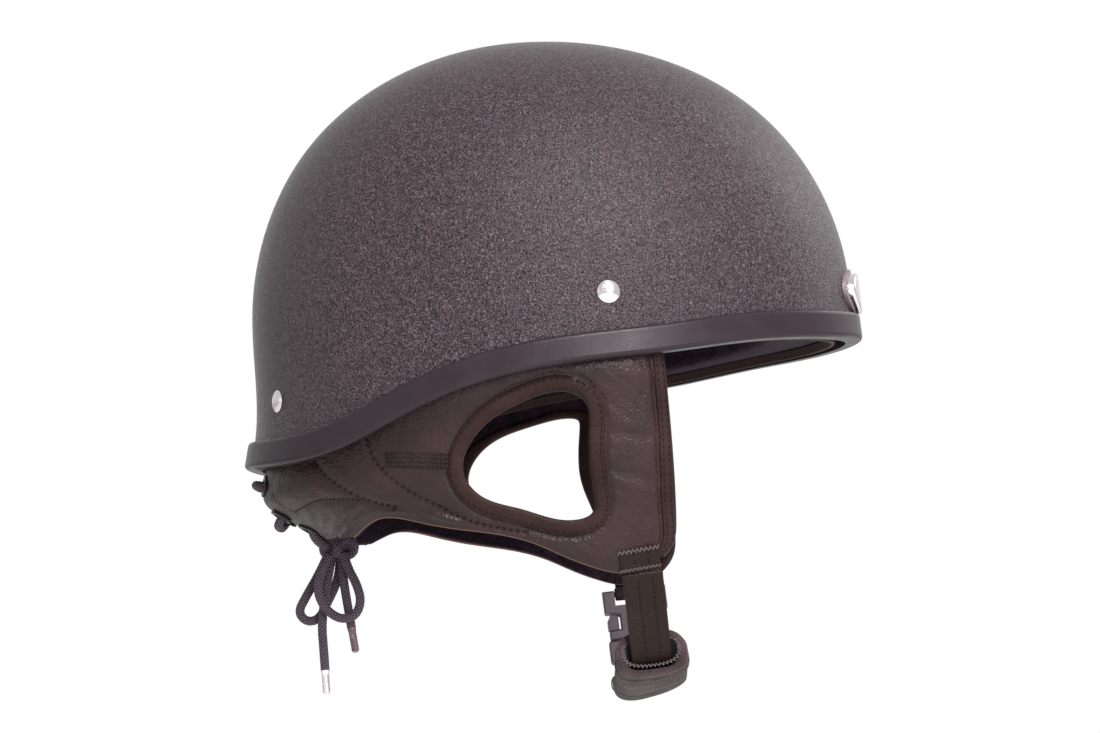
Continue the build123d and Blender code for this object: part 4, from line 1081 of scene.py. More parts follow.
def side_loops():
    """The leather side's two borders as (turn, level), matched point for point from the nape round by the
    trim, the front seam and the hem: the ear hole inside, the panel's own edge outside."""
    hem, seam = hem_line(), seam_line()
    low_level = turn_of(hem[:1])[0, 1]
    levels = np.linspace(low_level, NAPE_TOP, 60)
    _, _, half = collar_sizes(levels)
    nape = np.stack((math.pi - np.arcsin(np.clip(NAPE_ASIDE / half, 0, 1)), levels), -1)
    nape_world = collar_turn(nape[:, 0], nape[:, 1])
    nape = nape[nape_world[:, 2] < rim_height(nape_world[:, 0], TRIM_LAP)]
    top_x = np.linspace(nape_world[len(nape) - 1, 0] + 1, FRONT_TOP, 160)
    top = turn_of(np.stack((top_x, rim_height(top_x, TRIM_LAP)), -1))
    front = turn_of(seam + np.array((SEAM_LAP, 0)))
    foot = hem[(hem[:, 0] < FRONT_FOOT) & (np.arange(len(hem)) < len(hem) * FOOT_SHARE)][::-1]
    start = len(nape) * 3 // 4
    cuts = [int(np.argmin(np.abs(foot[:, 0] - x))) for x in WING_FEET]
    foot = turn_of(foot)
    outer = [np.vstack((nape[start:], top)), np.vstack((top[-1:], front[front[:, 1] < top[-1, 1]])),
             np.vstack((front[-1:], foot[:cuts[0] + 1])), foot[cuts[0]:cuts[1] + 1],
             np.vstack((foot[cuts[1]:], nape[:start + 1]))]
    hole = ear_line(EAR_BAND - BAND_LAP)
    inner = turn_of(hole)
    marks = [int(np.argmin(np.linalg.norm(hole - mark, axis=1))) for mark in side_view(EAR_MARKS, DROP)]
    scale = np.array((RADIAN, 1.0))
    outside, inside = [], []
    for part, count, first, last in zip(outer, BORDER_POINTS, marks, marks[1:] + marks[:1]):
        outside.append(even(part * scale, count + 1)[:-1] / scale)
        stop = first + (last - first) % len(inner)
        stretch = np.take(inner, np.arange(first, stop + 1), axis=0, mode="wrap")
        inside.append(even(stretch * scale, count + 1)[:-1] / scale)
    return np.vstack(inside), np.vstack(outside)


def relief(points, height):
    """How far the leather stands off its form: it rises between seams as one minus a bell of the distance
    to the nearest, dips along each seam in a narrow bell, and folds. A pinched fold is a narrow valley with
    a ridge 2.2 widths to each side; a soft one is a single wider bell. Two crossed sines wave the skin."""
    seams = [curve(line, 80) for line in (SEAM_REAR, SEAM_WING, SEAM_ARC)]
    gaps = np.stack([distance(points, seam) for seam in seams])
    border = np.minimum(distance(points, ear_line(EAR_BAND, 160)), distance(points, seam_line(60)))
    hem = distance(points, hem_line(200))
    rise = 1 - bell(np.minimum(gaps.min(0), border), SWELL_REACH)
    lift = height * rise * (1 - 0.7 * bell(hem, HEM_REACH))
    lift = lift - STITCH_DIP * bell(gaps, DIP_WIDTH).sum(0) - BORDER_DIP * bell(border, DIP_WIDTH)
    for line, amount, width in PINCHES:
        gap = distance(points, curve(line, 40))
        lift = lift + amount * (0.8 * bell(gap - 2.2 * width, 1.3 * width) - bell(gap, width))
    for line, amount, width in FOLDS:
        lift = lift + amount * bell(distance(points, curve(line, 60)), width)
    x, z = points[..., 0], points[..., 1]
    return lift + SKIN_WAVE * np.sin(x * 0.9 + 0.35 * z) * np.sin(z * 0.55 - 0.2 * x)


def side_grid(rows, out, height=0.0, step=1):
    """The leather side as rings from the ear hole out to the panel's edge: straight runs in (turn, level)
    between matched border points, placed on the form and raised by the relief."""
    inside, outside = (loop[::step] for loop in side_loops())
    share = np.linspace(0, 1, rows)[:, None, None]
    flat = inside + (outside - inside) * share
    base = collar_turn(flat[..., 0], flat[..., 1])
    rise = relief(base[..., (0, 2)], height) if height else 0.0
    return collar_turn(flat[..., 0], flat[..., 1], out + rise)


def swayed(grid):
    """The wearer's left side hangs 6 mm further back and 5 mm higher about its ear hole, and 5 mm more of
    both at the hole's front: a shift that fades in flat-topped bells, of the fourth power, from the hole's
    middle, and to nothing at the trim and the hem."""
    x, z = grid[..., 0], grid[..., 2]
    share = np.exp(-((x + 12) / 46) ** 4 - ((z + 52) / 27) ** 4)
    share = share * (1 - bell(np.clip(rim_height(x, 0.0) - z, 0, None), 12.0))
    more = 5.0 * np.clip((x + 15) / 38, 0, 1) ** 2
    moved = np.stack((x - (6.0 + more) * share, z + (5.0 + more) * share), -1)
    slide = collar_side(moved[..., 0], moved[..., 1])[..., 1] - collar_side(x, z)[..., 1]
    return np.stack((moved[..., 0], grid[..., 1] + slide, moved[..., 1]), -1)


def both_sides(name, solid, grid, material, slot, **facts):
    """The wearer's right piece and its mirror image on the left, each in place of its solid."""
    pieces = []
    for side, sign in SIDES:
        shape = grid if sign > 0 else swayed(grid) * np.array((1, sign, 1))
        pieces.append(build(f"{name}_{side}", shape, material, slot, **facts))
        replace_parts(pieces[-1], f"{solid}_{side}")
    return pieces


def ear_band_grid():
    """A rounded band carried round the ear hole: a superellipse from just outside the leather to just
    inside the fleece, its face puckered by the turned-in seam as the product of two sines."""
    count = 300
    aside, depth = superellipse(full_turn(22), EAR_BAND / 2, LAYERS / 2 + 0.95, 0.72)
    along = full_turn(count)
    pucker = 0.07 * np.sin(along * 37) * np.sin(along * 11 + 1)
    columns = []
    for across, rise in zip(aside, depth):
        line = ear_line(float(EAR_BAND / 2 + across), count)
        columns.append(collar_side(line[:, 0], line[:, 1], rise - LAYERS / 2 + pucker * (rise > 0)))
    return np.stack(columns, 1)


def front_band_grid():
    """The bound front edge: at each height a superellipse as wide as from the seam to the panel's edge."""
    count = 150
    seam = seam_line(count)
    edge = hem_line(600)
    edge = edge[edge[:, 0] > 44.0]
    edge = edge[np.argsort(edge[:, 1])]
    height = np.linspace(rim_height(np.array([47.0]), 3.0)[0], seam[-1, 1], count)
    seam_x = np.interp(height, seam[::-1, 1], seam[::-1, 0])
    edge_x = np.interp(height, edge[:, 1], edge[:, 0])
    share, rise = superellipse(full_turn(20), 0.5, LAYERS / 2 + 0.9, 0.7)
    middle, width = (seam_x + edge_x) / 2, edge_x - seam_x
    return collar_side(middle[:, None] + width[:, None] * share, height[:, None], rise - LAYERS / 2)


def facing_grid():
    """The laced facing at the nape: an oblong strip down the back whose outer face is drawn in by a bell
    round each lacing row and swells between them."""
    level = np.linspace(*FACING_LEVELS, 110)[:, None]
    side, rise = superellipse(full_turn(40), FACING_HALF, LAYERS / 2 + 0.95, 0.55)
    drawn = bell(level - DRAWN_LEVELS, DRAWN_WIDTH).sum(1, keepdims=True)
    out = rise - LAYERS / 2 + (0.5 - 0.9 * drawn) * (rise > 0)
    side, level, out = np.broadcast_arrays(side, level, out)
    return collar_back(side - FACING_MIDDLE, level, out)


def anchor_grid(centre_x, centre_z, normal_y):
    """An anchor strap: a flat strip up the leather's form from under the trim to past its rivet, narrowed in
    the side view by the y of the shell's normal there."""
    breadth = ANCHOR_HALF * normal_y
    x = np.linspace(centre_x - breadth, centre_x + breadth, 14)
    low, share = rim_height(x, ANCHOR_FOOT), np.linspace(0, 1, 24)[:, None]
    return collar_side(x, low + (centre_z + ANCHOR_PAST - low) * share)


class CAP_OT_leather_sides(bpy.types.Operator):
    """Leather sides with their fleece, bound edges, laced facings, anchor straps and stitching"""
    bl_idname = "cap.leather_sides"
    bl_label = "Make the leather sides"

    def execute(self, context):
        tone, size = context.scene.cap_colours, context.scene.cap_sizes
        hide = grain_leather("chrome_tanned_leather", tone.leather)
        band = grain_leather("turned_binding_leather", tone.binding, cell=0.8, crease=0.4, gloss=0.05)
        fleece = brushed_fleece("brushed_lining_fleece", tone.fleece)
        face, lining = side_grid(64, 0.0, size.relief / MM), side_grid(24, LINING_PLACE, step=3)
        for piece in both_sides("leather_side", "harness", face, hide, "leather", wrap=(False, True),
                                uv=(60, 480)):
            walled(piece, FACE_WALL, FACE_ROUND)
        for piece in both_sides("fleece_side", "harness_lining", lining, fleece, "fleece", wrap=(False, True),
                                uv=(60, 480)):
            walled(piece, LINING_WALL, LINING_ROUND, 2)
        both_sides("ear_band", "ear_binding", ear_band_grid(), band, "leather", wrap=(True, True),
                   uv=(160, 22))
        both_sides("front_band", "front_binding", front_band_grid(), band, "leather", wrap=(False, True),
                   uv=(90, 20))
        both_sides("nape_facing_leather", "nape_facing", facing_grid(), hide, "leather", wrap=(False, True),
                   uv=(60, 50))
        for side, sign in SIDES:
            for number, rivet in enumerate(RIVETS):
                strip = anchor_grid(*rivet) * np.array((1, sign, 1))
                piece = build(f"anchor_strap_{side}_{number}", strip, hide, "leather", uv=(30, 22))
                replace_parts(walled(piece, FACE_WALL), f"anchor_straps_{side}")
        self.sew(tone, size.stitch / MM)
        self.cut_edges()
        return {"FINISHED"}

    def sew(self, tone, pitch):
        """Rows round the ear hole, along the seams and beside the front band, and the tack: a narrow ladder
        of cross stitches between two close rows."""
        thread = sewing_thread("bonded_nylon_thread", tone.thread)
        ribbing = sewing_thread("ribbed_tack_thread", shaded(tone.thread, 1.9))
        ear = ear_line(EAR_BAND - 1.7, 400)
        rows = [
            collar_row(np.vstack((ear, ear[:1])), ON_BAND, pitch),
            collar_row(curve(SEAM_REAR, 120), IN_SEAM, pitch),
            collar_row(curve(SEAM_WING, 120), IN_SEAM, pitch),
            collar_row(curve(SEAM_ARC, 60), IN_SEAM, pitch * 0.8),
        ]
        rows += [collar_row(seam_line(160) + np.array((aside, 0)), ON_FACE, pitch) for aside in (2.3, 5.0)]
        tack = even(TACK, 60)
        rows += [collar_row(tack + np.array((0, aside)), ON_FACE, 1.5) for aside in (-3.2, 3.2)]
        ribs = []
        for aside in (-1.9, 0.0, 1.9):
            centres, ahead, up, _ = collar_row(tack + np.array((0, aside)), 0.85, 1.15)
            ribs.append((centres, np.cross(up, ahead), up, 1.9))
        for side, sign in SIDES:
            stitch_rows(f"tack_ribs_{side}", ribs, ribbing, "leather", mirrored=sign < 0, width=0.8)
        for side, sign in SIDES:
            stitch_rows(f"stitching_{side}", rows, thread, "leather", mirrored=sign < 0)

    def cut_edges(self):
        """The raw edge of the hide along the hem, between the leather and its lining."""
        raw = cut_leather_edge("#502f21")
        hem = hem_line(300)
        hem = hem[(hem[:, 0] < FRONT_TOP) & (np.arange(len(hem)) < 0.7 * len(hem))]
        edge = collar_side(hem[:, 0], hem[:, 1] + 0.15, -2.0)
        for side, sign in SIDES:
            tube(f"raw_edge_{side}", edge * np.array((1, sign, 1)), 0.55, raw, "leather", around=8)


# ---------------------------------------------------------------- padding

def carried_round(profile, count):
    """A profile of (dome sizes, height above the slanting rim line) carried round the head."""
    turn = full_turn(count)
    return np.stack([dome_at(turn, level_at_rim(turn, lift, sizes), sizes) for sizes, lift in profile], 1)


def headband_grid():
    """The fleece headband: a soft closed profile, up its inner face, over its top, down the liner's face and
    round under the liner to the shell. Each point lies on a dome between those."""
    face, back, low = grown(LINER, -6.0), grown(LINER, -0.3), grown(SHELL, -11.4)

    def between(share):
        return tuple((1 - share) * c + share * f for c, f in zip(low, face))

    profile = [
        *((face, lift) for lift in (7.0, 10.5, 15.0, 20.0, 25.5, 31.0, 36.5, 41.5)),
        (grown(LINER, -5.4), 44.6), (grown(LINER, -3.2), 46.0), (grown(LINER, -1.0), 44.8),
        (back, 41.0), (back, 34.0),
        (back, 26.0), (back, 18.0), (grown(LINER, 0.2), 13.5),
        (tuple((b + c) / 2 for b, c in zip(back, low)), 12.0),
        (grown(low, -1.0), 11.6), (low, 10.4), (low, 8.2), (low, 6.0), (grown(low, -1.2), 4.9),
        (between(0.34), 4.7), (between(0.66), 4.7), (grown(face, 1.6), 5.2),
    ]
    return carried_round(profile, 220)


def piping_grid():
    """The tape folded over the headband's lower edge: an oblong 4.4 mm deep carried round the head, thicker
    by the square of the distance from its middle, so that a bead runs along each edge."""
    half_depth, half_thick = 2.2, 1.25
    depth, rise = superellipse(full_turn(16), half_depth, half_thick, 0.6)
    rise = rise * (0.6 + 0.4 * (depth / half_depth) ** 2)
    return carried_round([(grown(SHELL, float(r) - 11.75), 2.6 + float(h)) for h, r in zip(depth, rise)], 400)


def crown_grid():
    """The crown pad: rings from the middle of its upper face over the rim to the middle of its lower face,
    each at the height where its circle meets the liner's dome, which is drawn in by the inset."""
    turn = full_turn(96)
    upper = [(0.4, radius) for radius in (0.0, 10.0, 20.0, 30.0, 40.0, 47.0)]
    rim = [(1.2, 49.4), (3.0, 50.0), (4.8, 49.2)]
    lower = [(6.0, radius) for radius in (46.0, 41.0, 35.0, 29.0, 23.0, 17.0, 11.0, 5.0, 0.0)]
    rings = []
    for inset, radius in upper + rim + lower:
        front, rear, half, height = grown(LINER, -inset)
        ahead, y = radius * np.cos(turn), radius * np.sin(turn)
        share = np.sqrt((ahead / np.where(ahead > 0, front, rear)) ** 2 + (y / half) ** 2)
        rings.append(world(ahead, y, height * (1 - share ** ROUND_POWER) ** (1 / UP_POWER)))
    return np.stack(rings)


class CAP_OT_padding(bpy.types.Operator):
    """Fleece headband and crown pad, both filled as cloth with air, and the headband's piping"""
    bl_idname = "cap.padding"
    bl_label = "Make the padding"

    def execute(self, context):
        tone, size = context.scene.cap_colours, context.scene.cap_sizes
        fleece = brushed_fleece("brushed_headband_fleece", tone.fleece)
        swell = size.puff / MM
        band = build("headband_fleece", headband_grid(), fleece, "fleece", wrap=(True, True), uv=(600, 90))
        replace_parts(band, "headband")
        smoothed(puffed(band, 0.5 * swell, 1.5))
        pad = build("crown_pad_fleece", crown_grid(), fleece, "fleece", wrap=(False, True), poles=True,
                    uv=(90, 300))
        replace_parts(pad, "crown_pad")
        smoothed(puffed(pad, swell, 2.0))
        tape = woven_tape("woven_polyester_piping", tone.piping, pitch=1.2)
        piping = build("headband_piping_tape", piping_grid(), tape, "piping", wrap=(True, True), uv=(620, 14))
        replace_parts(piping, "headband_piping")
        return {"FINISHED"}


# ---------------------------------------------------------------- lacing

def lace_line(route):
    """The line that a NURBS spline of order three makes of a route's points, read from the curve itself."""
    data = bpy.data.curves.new("lace_route", "CURVE")
    data.dimensions = "3D"
    data.resolution_u = 24
    strand = data.splines.new("NURBS")
    strand.points.add(len(route) - 1)
    for point, place_at in zip(strand.points, route):
        point.co = (*[c * MM for c in place_at], 1)
    strand.order_u = 3
    strand.use_endpoint_u = True
    holder = bpy.data.objects.new("lace_route", data)
    bpy.context.scene.collection.objects.link(holder)
    bpy.context.view_layer.update()
    mesh = bpy.data.meshes.new_from_object(holder)
    line = np.zeros(len(mesh.vertices) * 3, np.float32)
    mesh.vertices.foreach_get("co", line)
    bpy.data.objects.remove(holder)
    bpy.data.curves.remove(data)
    bpy.data.meshes.remove(mesh)
    return line.reshape(-1, 3).astype(float) / MM


def lace_piece(name, line, diameter, material, closed=False):
    """A braided tube: circles carried along the line, their radius raised where one of two crossing sets of
    yarns lies on top, as the greater of two sines of the length plus and minus the angle."""
    step, around = 0.45, 24
    path = even(line, 90, closed=True) if closed else even(line, max(8, int(lengths_along(line)[-1] / step)))
    run = lengths_along(path)
    phase, angle = run[:, None] * 2 * np.pi / PLAIT, YARNS * full_turn(around)
    plait = np.maximum(np.sin(phase + angle), np.sin(phase - angle))
    grid = tube_grid(path, diameter / 2 * (0.965 + 0.035 * plait), around, closed)
    piece = build(name, grid, material, "lace", (closed, True), poles=not closed, uv=(float(run[-1]), 1.0),
                  closed=True)
    return piece, path


def eyelet_places():
    """Each lacing row's two eyelets: their places on the facing and the way the facing looks there, square
    to two short steps over it."""
    places = []
    for height in EYELET_ROWS:
        for side in (-1, 1):
            def facing_at(level, further=0.0):
                return collar_back(EYELET_ASIDE * side + further, np.array(level), FACING_FACE)
            level = closed_in(-30.0, lambda level: height * DROP - float(facing_at(level)[..., 2]))
            centre = facing_at(level)
            normal = unit(np.cross(facing_at(level + 0.5) - centre, facing_at(level, 0.5) - centre))
            places.append((centre, normal * np.sign(-normal[0])))
    return places


class CAP_OT_lacing(bpy.types.Operator):
    """Braided lace: bars across the nape, leads to the knot, the knot, and the bow's loops and ends"""
    bl_idname = "cap.lacing"
    bl_label = "Lace the nape"

    def execute(self, context):
        tone = context.scene.cap_colours
        width = context.scene.cap_sizes.lace / MM
        braid = braided_lace(tone.lace)
        places = eyelet_places()
        eyelet_lip, room = 0.8, 0.3
        lift, depth = width / 2 + eyelet_lip + width / 4 + room, 2 * width
        for row in range(2):
            (right, r_up), (left, l_up) = places[2 * row], places[2 * row + 1]
            middle = (right + left) / 2 + (r_up + l_up) / 2 * (lift + 0.9)
            route = [right - r_up * depth, right + r_up * lift, middle, left + l_up * lift,
                     left - l_up * depth]
            bar, _ = lace_piece(f"lace_bar_{row}", lace_line(route), width, braid)
            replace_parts(bar, "nape_lacing")
        for (centre, up), side, word in zip(places[4:], (-1, 1), ("right", "left")):
            route = [centre - up * depth, centre + up * lift, KNOT + np.array((-4.3, side * width / 2, 0))]
            lead, _ = lace_piece(f"lace_lead_{word}", lace_line(route), width, braid)
            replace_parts(lead, "nape_lacing")
        self.tie(braid, width)
        for name, route in LACE_ROUTES.items():
            piece, path = lace_piece(f"{name}_braid", lace_line(route), width, braid)
            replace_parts(piece, name)
        return {"FINISHED"}

    def tie(self, braid, width):
        """The knot: a ring of lace bulges at each side of its face and of its back, an ellipse that leans
        away as it nears the middle, and one stadium-shaped turn is drawn tight between them; a soft core
        fills what they hold, an ellipsoid with five faint lobes."""
        angle = full_turn(96)
        aside, bulge = 4.0, 2.7            # the rings' middles, from the knot's
        ring_x, ring_z = 2.9, 3.3          # and their half sizes
        turns = []
        for side in (-1, 1):
            for front in (-1, 1):
                x = side * (aside + 0.2 * front) + ring_x * np.cos(angle)
                z = (ring_z + 0.15 * side) * np.sin(angle) + 0.3 * side * front
                turns.append(np.stack((x, front * (bulge - 0.22 * side * (x - side * aside)), z), -1))
        radius, straight = (10.0 - width) / 2, 3.6
        run = np.sign(np.cos(angle)) * np.minimum(1, np.abs(np.cos(angle)) * 3) * straight / 2
        turns.append(np.stack((0.5 * np.sin(2 * angle), np.cos(angle) * radius + run,
                               np.sin(angle) * radius * 1.05), -1))
        for number, path in enumerate(turns):
            turn, _ = lace_piece(f"knot_turn_{number}", KNOT + path, width, braid, closed=True)
            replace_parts(turn, "lace_knot")
        u, v = np.meshgrid(np.linspace(-np.pi / 2, np.pi / 2, 24), full_turn(32), indexing="ij")
        width_here = np.cos(u) ** 0.7 * (1 + 0.05 * np.sin(5 * v) * np.cos(u))
        core = KNOT + np.stack((6.4 * np.sin(u), 4.2 * np.cos(v) * width_here,
                                3.4 * np.sin(v) * width_here), -1)
        piece = build("knot_core", core, braid, "lace", (False, True), poles=True, uv=(16.0, 2.0))
        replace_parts(piece, "lace_knot")


# ---------------------------------------------------------------- chin strap and buckle webbing

# The padded sleeve, in millimetres
MOUTH, MOUTH_SLANT, SLEEVE_END = 38.0, 7.5, 132.5   # along the strap, and the slant over half its thickness
SLEEVE_HALF, SLOT_HALF = (16.0, 6.0), (9.5, 1.35)   # half width and half thickness outside, and of its slot
SLEEVE_RINGS, SLOT_RINGS, LIP_RINGS = 130, 70, 9
THIN_EDGE, THIN_REACH = 0.42, 14.0         # how much thinner its brow edge is below, and how soon
GROOVE, GROOVE_PLACE, GROOVE_WIDTH = 0.07, 4.2, 1.1
TUCK = 0.2
FLARE_REACH, SIDE_FLARE, RISE_FLARE = 7.0, 0.22, 1.4
UPPER_LIP, LOWER_LIP = 2.4, 1.8
# Each ring of overlock: half sizes, place past the mouth, and stitches
OVERLOCKS = (((12.6, 3.9), -2.0, 74), ((16.4, 6.5), 6.2, 86), ((16.6, 6.3), 92.0, 86))


def strap_path(count, start=0.0, lead=0.0):
    """The strap's middle line in its own plane, from the fold to the buckle's bar: straight runs with round
    corners. It starts past the fold by start, and ends short of its turn by lead."""
    fold, bar = np.array(FOLD), np.array(MALE_BAR)
    first = unit(np.array(STRAP_CORNERS[0]) - fold)
    last = unit(bar - np.array(STRAP_CORNERS[-1]))
    end = bar - last * (BAR_WRAP + STRAP_THICK / 2 + lead)
    return filleted([fold + first * start, *np.array(STRAP_CORNERS), end], STRAP_RADII, count)


def left_of(ahead):
    """Headings in a plane turned a quarter to their left."""
    return np.stack((-ahead[..., 1], ahead[..., 0]), -1)


def tape_grid(path, thickness, closed=False):
    """A flat strap: a squared oblong carried along a path in the strap's plane."""
    normal = left_of(headings(path, closed))
    side, rise = superellipse(full_turn(28), STRAP_WIDTH / 2, thickness / 2, STRAP_SQUARE)
    flat = path[:, None] + rise[None, :, None] * normal[:, None]
    return strap_at(flat[..., 0], flat[..., 1], side)


def bar_loop(bar, thickness):
    """The closed middle line of a turn round a buckle's bar."""
    turn = full_turn(72)
    return np.array(bar) + (BAR_WRAP + thickness / 2) * np.stack((np.cos(turn), np.sin(turn)), -1)


def strap_row(path, offset, side, pitch, share=0.7):
    """Stitch places along the strap, offset to its face and set aside from its middle."""
    flat = path + left_of(headings(path)) * offset
    line = strap_at(flat[:, 0], flat[:, 1], side)
    count = max(2, int(lengths_along(line)[-1] / pitch))
    centres = even(line, count)
    up = centres - even(strap_at(path[:, 0], path[:, 1], side), count)
    return centres, headings(centres), unit(up), pitch * share


def sleeve_at(place, side, rise):
    """Points of the sleeve's skin: a distance along the strap, one to its side and one off its middle."""
    line = strap_path(900)
    run = lengths_along(line)
    point = np.stack([np.interp(place, run, column) for column in line.T], -1)
    ahead = np.stack([np.interp(place, run, column) for column in headings(line).T], -1)
    flat = point + left_of(ahead) * rise[..., None]
    return strap_at(flat[..., 0], flat[..., 1], side)


def sleeve_mouth(rise):
    """Where the slanting mouth lies along the strap: further along on the head's side than on the face."""
    return MOUTH - MOUTH_SLANT * rise / SLEEVE_HALF[1]


def sleeve_grid():
    """The padded sleeve: one soft closed skin that runs along the outside, turns in at each mouth in a round
    lip, and comes back along the slot that the strap slides in, which flares to the upper mouth in a bell.
    Outside it is a superellipse whose underside thins toward the brow. A groove runs round behind the upper
    lip, and shallow waves along the head's side are the tucks that its bend makes. Returns the grid and the
    points of its slot and lips, which the air doesn't move."""
    angle = full_turn(56)
    outer_side, outer_rise = superellipse(angle, *SLEEVE_HALF, 0.72)
    lean = np.where(outer_rise < 0, 1 - THIN_EDGE * outer_side / SLEEVE_HALF[0], 1.0)
    inner_side, inner_rise = superellipse(angle, *SLOT_HALF, 0.5)
    mouth = sleeve_mouth(outer_rise)[None]

    out = np.linspace(0, 1, SLEEVE_RINGS)[:, None] ** 1.25
    past = (SLEEVE_END - mouth) * out
    groove = GROOVE * bell(past - GROOVE_PLACE, GROOVE_WIDTH) * (past > 0)
    under = np.clip(-outer_rise / SLEEVE_HALF[1], 0, 1)
    tuck = TUCK * np.sin(out * 52 + 1.5 * np.sin(out * 11)) * under
    swell = 1.02 + 0.02 * np.sin(out * np.pi) - groove
    thinned = 1 + (lean - 1) * np.clip(past / THIN_REACH, 0, 1)
    rings = [sleeve_at(mouth + past, outer_side * swell, outer_rise * thinned * swell + tuck)]

    lip = np.linspace(0, np.pi, LIP_RINGS + 2)[1:-1, None]
    mix = (1 - np.cos(lip)) / 2
    thin_rise = outer_rise * lean
    rings.append(sleeve_at(SLEEVE_END + LOWER_LIP * np.sin(lip) + 0 * outer_rise,
                           outer_side + (inner_side - outer_side) * mix,
                           thin_rise + (inner_rise - thin_rise) * mix))

    past = (SLEEVE_END - mouth) * np.linspace(1, 0, SLOT_RINGS)[:, None]
    flare = bell(past, FLARE_REACH)
    slot_side, slot_rise = inner_side * (1 + SIDE_FLARE * flare), inner_rise * (1 + RISE_FLARE * flare)
    rings.append(sleeve_at(mouth + past, slot_side, slot_rise))
    rings.append(sleeve_at(mouth - UPPER_LIP * np.sin(lip),
                           slot_side[-1:] + (outer_side - slot_side[-1:]) * mix,
                           slot_rise[-1:] + (outer_rise - slot_rise[-1:]) * mix))
    held = np.arange(SLEEVE_RINGS, sum(len(part) for part in rings))
    return np.concatenate(rings), (held[:, None] * len(angle) + np.arange(len(angle))).ravel()


def on_tab(across, up, aside=-1):
    """Side-view points of a tab under the leather, right or left, from distances across it and up it."""
    return (STRAP_ORIGIN[0] + aside * TAB_SHIFT + across * math.cos(TILT) - up * math.sin(TILT),
            STRAP_ORIGIN[2] + up * math.cos(TILT) + across * math.sin(TILT))


def tab_grid(aside, low, thickness):
    """A strap tab on the leather's face, up to its end: an oblong in the strap's lean, raised from the form
    by its depth."""
    across, rise = superellipse(full_turn(26), STRAP_WIDTH / 2, thickness / 2, STRAP_SQUARE)
    x, z = on_tab(across, np.linspace(low, 0.0, 24)[:, None], aside)
    return collar_side(x, z, 0.1 + thickness / 2 + rise) * np.array((1, -aside, 1))


def zigzag(ahead, way, slant):
    """Directions of stitches that lean one way and the other by turns."""
    signs = np.where(np.arange(len(ahead)) % 2, slant, -slant)[:, None]
    return unit(way + signs * ahead)


